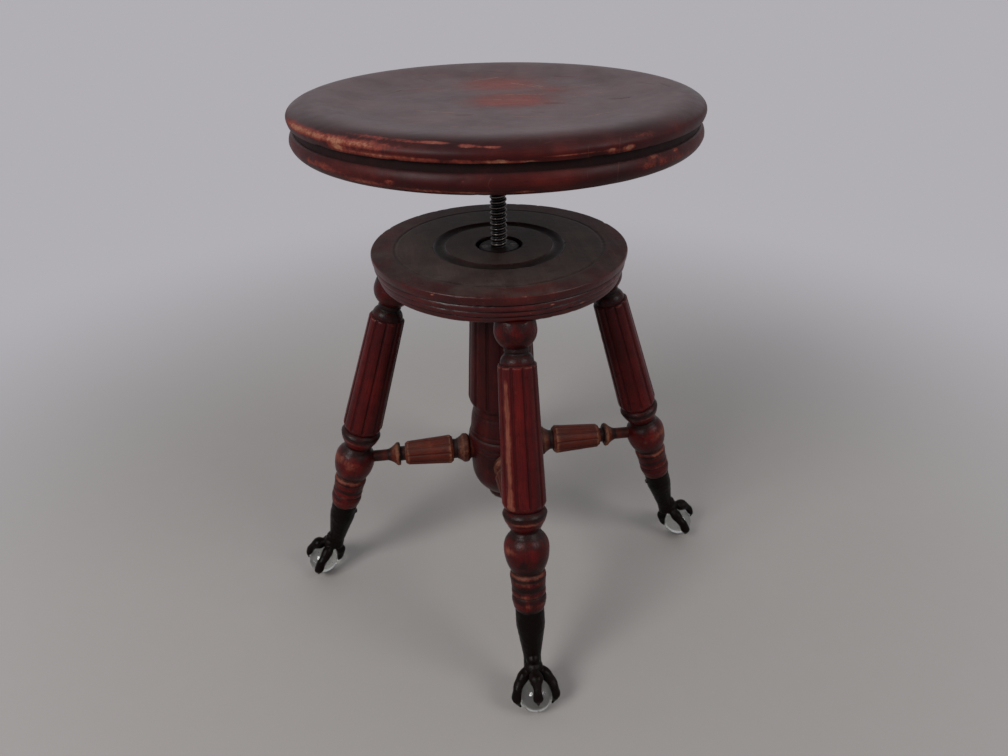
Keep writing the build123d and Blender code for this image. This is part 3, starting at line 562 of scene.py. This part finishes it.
# The front leg is darker from its vase down to the ferrule.
FRONT_LEG_DARK_BANDS = [(222, 12, 0.3), (262, 22, 0.34)]
stretcher_rub = bands(
    (41, 3, 0.5), (47, 4, 0.62), (60, 5, 0.5), (82, 22, 0.5), (106, 4, 0.56), (116, 3, 0.5), (121, 4, 0.66),
)
# Dark bands on a stretcher: painted shade in its necks and at its joints, with dirt.
stretcher_dark_bands = bands((44, 4, 0.5), (53, 3, 0.95), (68, 8, 0.25), (113, 3, 0.9), (125, 3, 0.5), (140, 14, 0.6))
stretcher_corners = [(STRETCHER_START - 6, 11, 0), *corners_of(STRETCHER_MOULDINGS, STRETCHER_START)]
stretcher_corners += [(127.2, 6.3, 0), (STRETCHER_END, 6.3, 0)]
# Degrees from a leg's outward line to a groove: the front leg was put in with a small turn.
LEG_TURN, FRONT_LEG_TURN = 18, 9
leg_axis = (math.sin(SPLAY), 0, -math.cos(SPLAY))
leg_across = (math.cos(SPLAY), 0, math.sin(SPLAY))
legs = []
stretchers = []
for place, turn in PLACES.items():
    front = place == "front"
    vectors = ((LEG_CIRCLE, 0, BASE_UNDERSIDE), leg_axis, leg_across, (0, 1, 0))
    legs.append(turned_piece(
        "leg_turning_" + place, outline_of(leg_corners, 1.3), [turned_about_z(v, turn) for v in vectors],
        "stand", "leg_" + place,
        grooves=LEG_GROOVES, phase=FRONT_LEG_TURN if front else LEG_TURN, ceiling=BASE_UNDERSIDE + 0.5,
        rub=front_leg_rub_and_highlight if front else leg_rub, patch=bands(*LEG_DARK_BANDS, *(FRONT_LEG_DARK_BANDS if front else [])),
    ))
    vectors = ((0, 0, STRETCHER_HEIGHT), (1, 0, 0), (0, 0, 1), (0, -1, 0))
    stretchers.append(turned_piece(
        "stretcher_turning_" + place, outline_of(stretcher_corners, 1.2), [turned_about_z(v, turn) for v in vectors],
        "stand", "stretcher_" + place,
        grooves=STRETCHER_GROOVES, rub=stretcher_rub, patch=stretcher_dark_bands, wobble=0.15,
    ))

# ---------------- glass balls and claws

def sphere(rows, columns):
    """The points of a ball of radius 1, its two poles last, and faces that look inwards."""
    polar = math.pi * np.arange(1, rows)[:, None] / rows
    turned = 2 * math.pi * np.arange(columns) / columns
    height = np.cos(polar) * np.ones(columns)
    points = np.stack([np.sin(polar) * np.cos(turned), np.sin(polar) * np.sin(turned), height], -1)
    return np.concatenate([points.reshape(-1, 3), [(0, 0, 1), (0, 0, -1)]]), grid_faces(height.shape)


BUBBLES = 7


def glass_ball(place, turn):
    """A pressed glass ball: not quite round, with a mould seam, a worn flat below and a few bubbles."""
    shape, inward = sphere(56, 96)
    faces = [[face[0], *face[:0:-1]] for face in inward]
    ripple = value_noise(shape * 10, 6, turn) * 0.05 + value_noise(shape * 10, 2.2, turn + 3) * 0.018
    seam = 0.05 * bell(shape[:, 2], 0, 0.03)
    size = BALL_RADIUS - 0.12 + np.clip(ripple + seam, -0.1, 0.1)
    x, y, z = (shape * size[:, None]).T
    z, x, y = turned_about_z((z, x, y), 24 + turn * 0.3)
    ball = np.stack([x, y, z], axis=1)
    ball[:, 2] = np.maximum(ball[:, 2], -BALL_RADIUS + 0.02)
    rng = np.random.default_rng(turn + 5)
    bubble, bubble_faces = sphere(6, 10)
    points = [ball]
    for i in range(BUBBLES):
        middle = rng.uniform(-9, 9, 3)
        points.append(bubble * rng.uniform(0.18, 0.5) + middle)
        start = len(ball) + i * len(bubble)
        faces += [[start + corner for corner in face] for face in bubble_faces]
    points = np.concatenate(points)
    placed = np.array(turned_about_z((points + BALL_CENTRE).T, turn)).T
    attributes = {"local": points * MM}
    return mesh_piece("ball_" + place, placed, faces, attributes, "stand", "glass_ball_" + place, 60)


balls = [glass_ball(place, turn) for place, turn in PLACES.items()]

# Knuckles that swell past this distance from the screw are pressed back half way, to stay in the CAD's box.
CLAW_REACH = 233.2
CLAW_VOXEL = 0.65
# The two knuckles of a toe: degrees down from the top of the ball, half width, size.
KNUCKLES = [(52, 9, 1), (84, 8, 0.7)]


def claw_foot(place, turn):
    """The cast ferrule and claws, with swollen knuckles, blunt nails and the unevenness of the casting."""
    rough_cast = add_object("rough_cast", nodes["claw_foot_" + place].data.copy())
    remesh = rough_cast.modifiers.new("remesh", "REMESH")
    remesh.mode = "VOXEL"
    remesh.voxel_size = CLAW_VOXEL * MM
    smooth = rough_cast.modifiers.new("smooth", "SMOOTH")
    smooth.factor = 0.5
    smooth.iterations = 4
    shaped = rough_cast.evaluated_get(bpy.context.evaluated_depsgraph_get())
    mesh = bpy.data.meshes.new_from_object(shaped)
    mesh.name = "claw_casting_" + place
    bpy.data.objects.remove(rough_cast)

    places = np.zeros((len(mesh.vertices), 3))
    normals = np.zeros_like(places)
    mesh.vertices.foreach_get("co", places.ravel())
    mesh.vertices.foreach_get("normal", normals.ravel())
    places = places / MM
    away = places - np.array(turned_about_z(BALL_CENTRE, turn))
    distance = np.linalg.norm(away, axis=1)
    away = away / distance[:, None]
    outward = np.sum(away * normals, axis=1)
    toes = smooth_step(-places[:, 2], -36, -27) * smooth_step(distance, BALL_RADIUS + 0.2, BALL_RADIUS + 1.5)
    knuckles = bands(*KNUCKLES)(np.degrees(np.arccos(np.clip(away[:, 2], -1, 1))))
    swell = toes * (0.9 * np.clip(outward + 0.75, 0, 1) + 1.1 * knuckles * np.clip(outward + 0.2, 0, 1))
    swell = np.where(outward < -0.45, 0, swell)
    swell = swell + 0.16 * value_noise(places, 3.2, 3) + 0.1 * value_noise(places, 1.6, 8)
    moved = places + normals * swell[:, None]
    moved[:, 2] = np.maximum(moved[:, 2], 0.6)
    outermost = np.array(turned_about_z((1, 0, 0), turn))
    beyond = np.maximum(moved @ outermost - CLAW_REACH, 0)
    moved = moved - outermost * (0.5 * beyond)[:, None]
    mesh.vertices.foreach_set("co", (moved * MM).ravel())
    mesh.shade_smooth()
    mesh.update()
    return add_piece(mesh, "stand", "claw_foot_" + place)


claw_feet = [claw_foot(place, turn) for place, turn in PLACES.items()]

# ---------------- shader nodes

def srgb(*channels):
    """A colour as it looks on a screen, 0 to 255, as the shader's linear one."""
    shares = [channel / 255 for channel in channels]
    return (*(share / 12.92 if share <= 0.04045 else ((share + 0.055) / 1.055) ** 2.4 for share in shares), 1)


class Shader:
    """The nodes of a new material or world, with one short call for each kind.

    place is where the noises are looked up, and colour is what has been painted so far. A colour of
    three numbers is as it looks on a screen, 0 to 255.
    """

    def __init__(self, owner):
        owner.use_nodes = True
        self.owner = owner
        self.tree = owner.node_tree
        self.surface = self.tree.nodes.get("Principled BSDF")

    def put(self, socket, value):
        if isinstance(value, bpy.types.NodeSocket):
            self.tree.links.new(value, socket)
        elif socket.type == "RGBA" and len(value) == 3:
            socket.default_value = srgb(*value)
        else:
            socket.default_value = value

    def node(self, kind, inputs, **settings):
        made = self.tree.nodes.new("ShaderNode" + kind)
        for key, value in settings.items():
            setattr(made, key, value)
        for key, value in inputs.items():
            self.put(made.inputs[key], value)
        return made

    def math(self, operation, first, second=0.5, clamp=False):
        return self.node("Math", {0: first, 1: second}, operation=operation, use_clamp=clamp).outputs[0]

    def times(self, first, second, clamp=False):
        return self.math("MULTIPLY", first, second, clamp)

    def add(self, *terms):
        """Terms added up. A pair is a value and what it is multiplied by."""
        values = [self.times(*term) if isinstance(term, tuple) else term for term in terms]
        return reduce(lambda total, value: self.math("ADD", total, value), values)

    def most(self, *values):
        return reduce(lambda total, value: self.math("MAXIMUM", total, value), values)

    def less(self, share, factor=1):
        """What is left of 1 when a share times a factor is taken off."""
        return self.math("SUBTRACT", 1, share if factor == 1 else self.times(share, factor))

    def vector(self, operation, first, second):
        return self.node("VectorMath", {0: first, 1: second}, operation=operation).outputs[0]

    def measure(self, operation, first, second=(0, 0, 0)):
        return self.node("VectorMath", {0: first, 1: second}, operation=operation).outputs["Value"]

    def flat(self):
        return self.vector("MULTIPLY", self.place, (1, 1, 0))

    def radius(self):
        """How far the place is from the middle, whatever its height."""
        return self.measure("LENGTH", self.flat())

    def value(self, name):
        return self.node("Attribute", {}, attribute_name=name).outputs["Fac"]

    def parts(self, vector):
        return self.node("SeparateXYZ", {0: vector}).outputs

    def up(self):
        """1 on a surface that faces up, 0 on an upright one."""
        return self.parts(self.node("NewGeometry", {}).outputs["Normal"])["Z"]

    def seen(self):
        """1 for the rays from the eye, in a shine and through glass, and 0 for diffuse light."""
        path = self.node("LightPath", {}).outputs
        return self.most(*(path["Is %s Ray" % kind] for kind in ("Camera", "Glossy", "Transmission")))

    def noise(self, scale, detail=3, roughness=0.55, distortion=0, at=None):
        return self.node("TexNoise", {
            "Vector": self.place if at is None else at, "Scale": scale, "Detail": detail, "Roughness": roughness,
            "Distortion": distortion,
        }).outputs["Fac"]

    def cracks(self, scale, width):
        """1 on the lines of a net of fine cracks."""
        cells = self.node("TexVoronoi", {"Vector": self.place, "Scale": scale}, feature="DISTANCE_TO_EDGE")
        return self.smooth(cells.outputs["Distance"], 0, width, 1, 0)

    def smooth(self, value, low, high, start=0, end=1):
        return self.node("MapRange", {
            "Value": value, "From Min": low, "From Max": high, "To Min": start, "To Max": end,
        }, interpolation_type="SMOOTHSTEP").outputs["Result"]

    def ramp(self, value, positions, colours):
        made = self.node("ValToRGB", {0: value})
        elements = made.color_ramp.elements
        while len(elements) < len(colours):
            elements.new(0.5)
        for element, position, colour in zip(elements, positions, colours):
            element.position = position
            element.color = srgb(*colour)
        return made.outputs["Color"]

    def mix(self, share, first, second):
        return self.node("Mix", {0: share, 6: first, 7: second}, data_type="RGBA").outputs[2]

    def paint(self, colour, share, amount=None, clamp=False):
        """Lay a share of a colour over what is there."""
        if amount is not None:
            share = self.times(share, amount, clamp)
        self.colour = self.mix(share, self.colour, colour)

    def finish(self, rough, shine=0.5, bump=None, **others):
        """Set the surface and give the material back. bump is a height and how far it stands out."""
        inputs = {"Base Color": self.colour, "Roughness": rough, "Specular IOR Level": shine, **others}
        if bump:
            inputs["Normal"] = self.node("Bump", {"Height": bump[0], "Distance": bump[1], "Strength": 1}).outputs[0]
        for key, value in inputs.items():
            self.put(self.surface.inputs[key], value)
        return self.owner


def new_shader(name, local=False):
    """A material with the places of the object, or with those that a turned piece was given."""
    s = Shader(bpy.data.materials.new(name))
    if local:
        s.place = s.node("Attribute", {}, attribute_name="local").outputs["Vector"]
    else:
        s.place = s.node("TexCoord", {}).outputs["Object"]
    return s


def assign(pieces, material):
    for piece in pieces:
        piece.data.materials.clear()
        piece.data.materials.append(material)


# ---------------- finishes of the wood

def wood_grain(s, grain, scales, shares, swirl=0.6):
    """The figure and fibre of a wood, long where grain's numbers are small, and its tone.

    scales are of the figure, the fibre and a broad mottle. shares are theirs in the tone, then an offset.
    """
    along = s.vector("MULTIPLY", s.place, grain)
    figure = s.noise(scales[0], 4, 0.6, swirl, at=along)
    fibre = s.noise(scales[1], 3, 0.6, at=along)
    mottle = s.noise(scales[2], 5, 0.62)
    tone = s.add((figure, shares[0]), (fibre, shares[1]), (mottle, shares[2]), shares[3])
    return along, figure, fibre, tone


def old_wood(name, varnish, raw, amount, dust, gloss):
    """Worn dark varnish over wood whose grain runs along the piece. amount is how worn it is."""
    s = new_shader(name, local=True)
    along, figure, fibre, tone = wood_grain(
        s, (1, 1, 0.055), (75, 950, 30), (0.42, 0.26, 0.62, -0.15), 0.8,
    )
    s.colour = s.ramp(tone, (0.22, 0.5, 0.74), varnish)

    # Rubbed places and edges, broken up by noise, are down to the raw wood; the pale streak on one rib of the front
    # leg is a painted highlight.
    reach = s.add(
        s.value("rub"), (s.value("edge"), 0.42), (s.noise(70, 4), 0.95), (s.noise(420, 3), 0.3),
        (s.noise(330, 3, at=along), 0.45),
    )
    wear = s.smooth(reach, 1.66 - amount, 2.04 - amount, 0, 0.88)
    s.paint(s.ramp(s.add((fibre, 0.6), (figure, 0.4)), (0.3, 0.68), raw), wear)
    pores = s.smooth(s.noise(2100, 2, 0.5, at=along), 0.6, 0.7)
    s.paint((20, 8, 7), pores, 0.55)
    # Where patch is high, the wood is painted dark: painted shade and dirt on the dark bands, and on the front leg
    # from its vase down.
    blotch = s.add(s.value("patch"), (s.noise(110, 4, 0.6), 1.5), -0.92)
    s.paint((17, 8, 7), s.smooth(blotch, 0, 0.75), 0.88)

    # Dirt and painted shade darken the cavities and the grooves between the ribs.
    grime_and_shade = s.most(s.times(s.value("cavity"), 1.15), s.times(s.value("hollow"), 0.4))
    grime_and_shade = s.times(grime_and_shade, s.smooth(s.noise(150, 3), 0.25, 0.62, 0.55, 1))
    s.paint((13, 6, 5), grime_and_shade, 0.85, True)
    settled = s.times(s.smooth(s.up(), 0.25, 0.95), s.smooth(s.noise(55, 5, 0.65), 0.28, 0.75))
    settled = s.times(settled, dust, True)
    s.paint((66, 56, 50), settled)
    speck = s.smooth(s.noise(900, 2, 0.5), 0.73, 0.8)
    speck = s.times(speck, s.smooth(s.noise(60, 2), 0.45, 0.7))
    s.paint((118, 106, 96), speck, 0.5, True)

    rough = s.add(gloss, (wear, 0.26), (settled, 0.35), (grime_and_shade, 0.18), (s.noise(120, 4), 0.22), -0.11)
    height = s.add(
        (fibre, 0.3), (pores, -0.55), (wear, -0.6), (s.cracks(310, 0.07), -0.25),
        (s.noise(210, 4), 0.55),
    )
    return s.finish(rough, 0.14, (height, 0.00018))


LEG_RAW = [(86, 38, 29), (138, 78, 60)]
assign(legs, old_wood("leg_varnish", [(34, 6, 7), (68, 10, 11), (98, 20, 16)], LEG_RAW, 0.24, 0.26, 0.3))
assign([post], old_wood("post_varnish", [(24, 5, 6), (50, 10, 11), (74, 20, 16)], LEG_RAW, 0.14, 0.42, 0.36))
assign(stretchers, old_wood(
    "stretcher_varnish", [(40, 13, 9), (76, 27, 18), (104, 44, 27)], [(94, 50, 34), (140, 92, 66)], 0.22, 0.45, 0.42,
))

# The longer scratches on the seat: from, to, half width.
SCRATCHES = [
    ((24, 76), (34, 62), 0.7), ((30, 72), (47, 45), 0.6), ((40, 66), (50, 50), 0.5), ((12, 20), (44, 14), 0.5),
    ((-6, 2), (30, -10), 0.5), ((60, -6), (98, 12), 0.4), ((-70, -30), (-40, -48), 0.4),
    ((-10, 96), (16, 110), 0.5), ((72, 40), (104, 52), 0.4), ((-84, 64), (-50, 74), 0.4),
    ((-46, -96), (-8, -104), 0.4), ((58, -84), (92, -66), 0.4), ((2, -70), (34, -76), 0.35),
]
# Where the colours of a board's varnish lie from its dark tones to its light ones.
BOARD_TONES = (0.25, 0.52, 0.76)
# From here to here the outermost band of the base's top turns as red as its side.
BAND_START, BAND_END = 96, 107
# From here to here the screw's thread turns from black to bright.
CREST_START, CREST_END = 7.8, 8.6


def scratch_lines(s):
    """A mask of the longer scratches on the top, each the distance from a line."""
    bent = s.node("TexNoise", {"Vector": s.place, "Scale": 90, "Detail": 2}).outputs["Color"]
    bent = s.vector("SUBTRACT", bent, (0.5, 0.5, 0.5))
    moved = s.vector("MULTIPLY_ADD", bent, (0.004, 0.004, 0))
    s.put(moved.node.inputs[2], s.flat())
    lines = []
    for start, end, half in SCRATCHES:
        start, end = (np.array([*point, 0]) * MM for point in (start, end))
        run = end - start
        away = s.vector("SUBTRACT", moved, start)
        share = s.math("DIVIDE", s.measure("DOT_PRODUCT", away, run), run @ run, True)
        foot = s.node("VectorMath", {0: run, "Scale": share}, operation="SCALE").outputs[0]
        gap = s.measure("LENGTH", s.vector("SUBTRACT", away, foot))
        lines.append(s.smooth(gap, half * 0.4 * MM, half * 1.6 * MM, 1, 0))
    return s.times(s.most(*lines), s.smooth(s.noise(260, 3), 0.38, 0.55))


def hair_scratches(s, ways, scale, low, high):
    """Patches of short hair scratches. ways are (degrees, scale) of the ways that they run."""
    hairs = []
    for degrees, fineness in ways:
        along = s.measure("DOT_PRODUCT", s.place, turned_about_z((1, 0, 0), degrees))
        over = s.measure("DOT_PRODUCT", s.place, turned_about_z((0, 1, 0), degrees))
        placed = s.node("CombineXYZ", {0: s.times(along, 0.05), 1: over}).outputs[0]
        hairs.append(s.smooth(s.noise(fineness, 2, 0.5, at=placed), 0.7, 0.76))
    return s.times(s.most(*hairs), s.smooth(s.noise(scale, 3), low, high))


def seat_material():
    s = new_shader("seat_varnish", local=True)
    along, figure, fibre, tone = wood_grain(s, (0.06, 1, 1), (60, 900, 22), (0.34, 0.18, 0.72, -0.12))
    up = s.up()
    level = s.smooth(up, 0.55, 0.98)
    side_colour = s.ramp(tone, BOARD_TONES, [(30, 6, 7), (56, 11, 11), (86, 26, 18)])
    top_colour = s.ramp(tone, BOARD_TONES, [(28, 12, 13), (50, 22, 22), (76, 34, 30)])
    s.colour = s.mix(level, side_colour, top_colour)

    # A rubbed place is down to the stain, and its deepest parts are bare.
    patches = s.noise(62, 5, 0.65)
    flecks = s.noise(380, 3, 0.6)
    reach = s.add(s.value("rub"), (s.value("edge"), 0.4), (patches, 1), (flecks, 0.45))
    patch = s.add(s.value("patch"), (patches, 0.62), (flecks, 0.26), -0.44)
    patch = s.times(s.smooth(patch, 0.06, 0.9), s.smooth(s.noise(260, 4, at=along), 0.3, 0.62, 0.66, 1))
    wear = s.most(s.times(s.smooth(reach, 1.24, 1.62), 0.85), patch)
    deep = s.times(s.smooth(reach, 1.56, 1.9), s.smooth(flecks, 0.3, 0.62, 0.65, 1))
    streak = s.add((fibre, 0.4), (figure, 0.3), (flecks, 0.3))
    s.paint(s.ramp(streak, (0.34, 0.64), [(84, 30, 24), (134, 58, 44)]), wear)
    bare = s.ramp(streak, (0.34, 0.64), [(116, 66, 48), (160, 108, 84)])
    s.paint(bare, deep, s.smooth(up, 0.98, 0.6, 0.25, 1))

    lines = s.times(scratch_lines(s), level)
    s.paint((176, 120, 92), lines, 0.65)
    hairs = hair_scratches(s, [(20, 1040), (72, 840)], 34, 0.42, 0.66)
    s.paint((130, 92, 78), hairs, 0.35)

    above = s.parts(s.place)["Z"]
    # Painted shade darkens the groove under the rim, and dirt and painted shade darken the other cavities.
    groove_shade = s.times(
        s.smooth(above, (GROOVE_FOOT - 0.9) * MM, (GROOVE_FOOT + 0.7) * MM),
        s.smooth(above, (GROOVE_TOP - 0.5) * MM, (GROOVE_TOP + 0.5) * MM, 1, 0),
    )
    grime_and_shade = s.times(s.most(s.value("cavity"), groove_shade), s.smooth(s.noise(120, 3), 0.2, 0.6, 0.75, 1))
    s.paint((20, 5, 5), grime_and_shade, 0.95, True)
    # A painted sheen: a pale haze on the level top inside the rim, partly the bloom of old varnish and partly a
    # painted reflection of the pale room.
    inner = s.smooth(s.radius(), (SEAT_CREST - 4) * MM, (SEAT_RADIUS - 6) * MM, 1, 0)
    bloom_and_sheen = s.times(s.times(level, inner), s.smooth(s.noise(26, 5, 0.6), 0.24, 0.7, 0.52, 1))
    bloom_and_sheen = s.times(bloom_and_sheen, s.smooth(s.value("patch"), 0.12, 0.75, 1, 0.3))
    s.paint((124, 109, 110), bloom_and_sheen, 0.46)

    rough = s.add(
        0.48, (level, -0.12), (wear, 0.18), (bloom_and_sheen, 0.14), (s.noise(90, 4), 0.2), (grime_and_shade, 0.2), (hairs, 0.12),
        -0.1,
    )
    height = s.add(
        (fibre, 0.12), (wear, -0.4), (s.cracks(240, 0.06), -0.05), (lines, -0.6), (hairs, -0.18),
        (s.noise(120, 3), 0.42),
    )
    return s.finish(rough, s.add(0.15, (level, 0.24)), (height, 0.0002))


def base_material():
    s = new_shader("base_varnish", local=True)
    _, _, fibre, tone = wood_grain(s, (1, 0.06, 1), (70, 900, 28), (0.4, 0.22, 0.6, -0.12))
    up = s.up()
    level = s.smooth(up, 0.6, 0.97)
    side_colour = s.ramp(tone, BOARD_TONES, [(32, 6, 7), (62, 12, 12), (92, 28, 22)])
    top_colour = s.ramp(tone, BOARD_TONES, [(36, 24, 21), (58, 42, 38), (82, 62, 55)])
    radius = s.radius()
    outer = s.times(s.smooth(radius, BAND_START * MM, BAND_END * MM), s.smooth(s.noise(36, 4), 0.32, 0.62, 0.15, 0.85))
    s.colour = s.mix(s.times(level, s.less(outer)), side_colour, top_colour)

    reach = s.add(
        s.value("rub"), (s.value("edge"), 0.58), (s.noise(75, 4), 0.95), (s.noise(420, 3), 0.5),
    )
    wear = s.smooth(reach, 1.4, 1.62)
    s.paint(s.ramp(fibre, (0.3, 0.7), [(96, 46, 38), (146, 98, 82)]), wear)
    hairs = hair_scratches(s, [(-35, 1040), (55, 920)], 40, 0.48, 0.68)
    s.paint((132, 84, 66), hairs, 0.4)

    # Dirt and painted shade lie in the mouldings, painted shade darkens the turned ring and the recess, and dust lies
    # over the rest.
    grime_and_shade = s.times(s.value("cavity"), s.smooth(s.noise(120, 3), 0.2, 0.6, 0.6, 1))
    s.paint((18, 12, 11), grime_and_shade, 0.85, True)
    half = (RING_HALF + 1) * MM
    ring = s.math("ABSOLUTE", s.math("SUBTRACT", radius, RING_RADIUS * MM))
    ring = s.times(s.smooth(ring, half * 0.7, half, 1, 0), s.smooth(up, 0.2, 0.5))
    recess_shade = s.smooth(radius, RECESS_RADIUS * MM, (RECESS_RADIUS + 1.2) * MM, 1, 0)
    ring = s.times(s.most(ring, recess_shade), s.smooth(s.noise(90, 4), 0.2, 0.55, 0.6, 1))
    s.paint((20, 13, 12), ring, 0.8)
    dust = s.times(level, s.smooth(s.noise(48, 6, 0.68), 0.34, 0.74))
    dust = s.times(s.times(dust, s.less(ring, 0.8)), s.less(outer, 0.6))
    s.paint((92, 83, 75), dust, 0.42)
    speck = s.smooth(s.noise(780, 2, 0.5), 0.7, 0.78)
    s.paint((138, 128, 118), speck, 0.55)

    rough = s.add(0.34, (level, 0.24), (dust, 0.14), (s.noise(110, 4), 0.18), (wear, 0.15), -0.09)
    height = s.add((fibre, 0.35), (wear, -0.4), (hairs, -0.3), (s.noise(200, 4), 0.7), (speck, 0.4))
    return s.finish(rough, 0.26, (height, 0.00022))


assign([seat], seat_material())
assign([base], base_material())

# ---------------- iron, steel and glass

def old_iron(name, dark, light, rust, rust_share, metallic, gloss, grainy, shine):
    """Iron with a worn black skin: blotches, a little rust and the skin's own grain."""
    s = new_shader(name)
    grain = s.noise(620, 4, 0.6)
    s.colour = s.ramp(s.add((s.noise(70, 5, 0.6), 0.6), (grain, 0.4)), (0.34, 0.66), (dark, light))
    rusty = s.add((s.noise(130, 5, 0.7), 0.7), (grain, 0.3))
    rusty = s.smooth(rusty, 0.64 - rust_share, 0.78 - rust_share)
    s.paint(rust, rusty)
    dust = s.times(s.smooth(s.up(), 0.3, 0.98), s.smooth(s.noise(90, 4), 0.4, 0.78))
    s.paint((62, 54, 48), dust, 0.2)
    rough = s.add(gloss, (grain, 0.18), (rusty, 0.25), (dust, 0.2), -0.09)
    height = s.add((grain, 0.6), (s.noise(240, 3), 0.8), (rusty, 0.5))
    return s.finish(rough, shine, (height, grainy), Metallic=metallic)


def screw_iron():
    """Dark oiled iron whose crests are rubbed bright by the nut."""
    s = new_shader("screw_thread")
    grain = s.noise(500, 4, 0.6)
    crest = s.smooth(s.add(s.radius(), (grain, 0.0008)), CREST_START * MM, CREST_END * MM)
    rusty = s.smooth(s.noise(210, 5, 0.7), 0.56, 0.7)
    s.colour = s.mix(crest, (14, 11, 10), (140, 130, 122))
    s.paint((58, 36, 25), rusty, 0.45)
    height = s.add((grain, 0.6), (s.noise(1400, 2), 0.3))
    rough = s.add(0.4, (crest, -0.2), (rusty, 0.2), (grain, 0.14), -0.07)
    return s.finish(rough, 0.5, (height, 0.00008), Metallic=s.add(0.35, (crest, 0.55)))


def ball_glass():
    s = new_shader("pressed_glass", local=True)
    scuff = s.smooth(s.noise(240, 5, 0.65), 0.52, 0.74)
    s.colour = s.mix(s.smooth(s.noise(60, 3), 0.3, 0.7), (0.74, 0.78, 0.74, 1), (0.86, 0.88, 0.85, 1))
    height = s.add((s.noise(130, 3), 0.8), (scuff, -0.2))
    rough = s.add(0.02, (scuff, 0.16))
    return s.finish(rough, 0.5, (height, 0.00012), **{"IOR": 1.5, "Transmission Weight": 1})


# Dark, light and rust colours, then how rusty, metallic, rough, grainy and shiny each is.
IRONS = {
    "claw_iron": ((6, 3, 2), (17, 9, 7), (42, 22, 15), -0.02, 0, 0.32, 0.0002, 0.07),
    "plate_iron": ((14, 10, 9), (36, 26, 23), (64, 36, 25), 0.06, 0.1, 0.46, 0.0002, 0.16),
    "wood_screw_steel": ((48, 42, 37), (92, 82, 72), (80, 48, 32), 0.08, 0.8, 0.38, 0.00008, 0.5),
    "nail_steel": ((28, 24, 21), (66, 57, 50), (76, 46, 30), 0.05, 0.6, 0.4, 0.0001, 0.5),
}
irons = {name: old_iron(name, *numbers) for name, numbers in IRONS.items()}
assign(claw_feet, irons["claw_iron"])
assign([nodes["seat_flange"], nodes["nut_plate"], nodes["stop_washer"]], irons["plate_iron"])
assign([nodes["seat_flange_screws"], nodes["nut_screws"]], irons["wood_screw_steel"])
assign([nodes["ferrule_nails"], nodes["hub_pin"], nodes["stop_pin"]], irons["nail_steel"])
assign([nodes["screw_rod"]], screw_iron())
assign(balls, ball_glass())

# ---------------- floor, light and camera

WALL = (177, 175, 180)

bpy.ops.mesh.primitive_plane_add(size=30, location=(0, 0, 0))
floor = bpy.context.active_object
floor.name = "floor"
s = new_shader("floor_paint")
s.colour = s.mix(s.times(s.noise(40, 4), 0.35), (152, 147, 143), (158, 153, 150))
s.finish(0.75, 0.2)
# Between these distances the floor turns into the wall.
FADE_START, FADE_END = 0.35, 1.3
glow = s.node("Emission", {"Color": WALL, "Strength": 1})
far = s.times(s.smooth(s.radius(), FADE_START, FADE_END), s.seen())
blend = s.node("MixShader", {0: far, 1: s.surface.outputs[0], 2: glow.outputs[0]})
s.put(s.tree.nodes["Material Output"].inputs["Surface"], blend.outputs[0])
assign([floor], s.owner)

# The eye and a shine see a pale room with a dim ceiling. Diffuse light comes from above and behind.
world = bpy.data.worlds.new("studio")
bpy.context.scene.world = world
s = Shader(world)
direction = s.parts(s.node("TexCoord", {}).outputs["Generated"])
backdrop = s.tree.nodes["Background"]
s.put(backdrop.inputs["Color"], WALL)
s.put(backdrop.inputs["Strength"], s.smooth(direction["Z"], 0.22, 0.8, 1, 0.3))
above = s.smooth(direction["Z"], 0.25, 0.95, 0, 0.95)
behind = s.smooth(direction["Y"], -0.1, 0.8, 0.1, 0.8)
room = s.node("Background", {"Color": (186, 188, 194), "Strength": s.add(above, behind)})
choice = s.node("MixShader", {0: s.seen(), 1: room.outputs[0], 2: backdrop.outputs[0]})
s.put(s.tree.nodes["World Output"].inputs["Surface"], choice.outputs[0])

LAMP_AIM = (0, 0, 0.3)
LAMP_SIZE = 1.2


def area_light(name, place, power):
    data = bpy.data.lights.new(name, "AREA")
    data.shape = "DISK"
    data.size = LAMP_SIZE
    data.energy = power
    back = np.subtract(place, LAMP_AIM)
    back = back / np.linalg.norm(back)
    side = np.cross((0, 0, 1), back)
    side = side / np.linalg.norm(side)
    columns = np.transpose([side, np.cross(back, side), back, place])
    add_object(name, data).matrix_world = Matrix([*columns.tolist(), (0, 0, 0, 1)])


area_light("key_left", (-1.7, -1.3, 1.9), 46)
area_light("key_right", (1.6, -1.2, 1.8), 20)

# The camera as it was fitted to the photo, in pixels, degrees and metres.
FOCAL_PIXELS, WIDTH_PIXELS = 746.18, 1008
SENSOR_WIDTH = 36
PITCH, PAN, ROLL, TURN = (math.radians(degrees) for degrees in (31.08, 0.2, -1.08, -7))
DISTANCE, HEIGHT = 0.67685, 0.65317

camera_data = bpy.data.cameras.new("camera")
camera_data.sensor_width = SENSOR_WIDTH
camera_data.sensor_fit = "HORIZONTAL"
camera_data.lens = FOCAL_PIXELS * SENSOR_WIDTH / WIDTH_PIXELS
camera = add_object("camera", camera_data)
camera.matrix_world = (
    Matrix.Rotation(TURN, 4, "Z") @ Matrix.Translation((0, -DISTANCE, HEIGHT)) @ Matrix.Rotation(-PAN, 4, "Z")
    @ Matrix.Rotation(math.pi / 2 - PITCH, 4, "X") @ Matrix.Rotation(ROLL, 4, "Z")
)
bpy.context.scene.camera = camera
bpy.context.scene.view_settings.view_transform = "Standard"
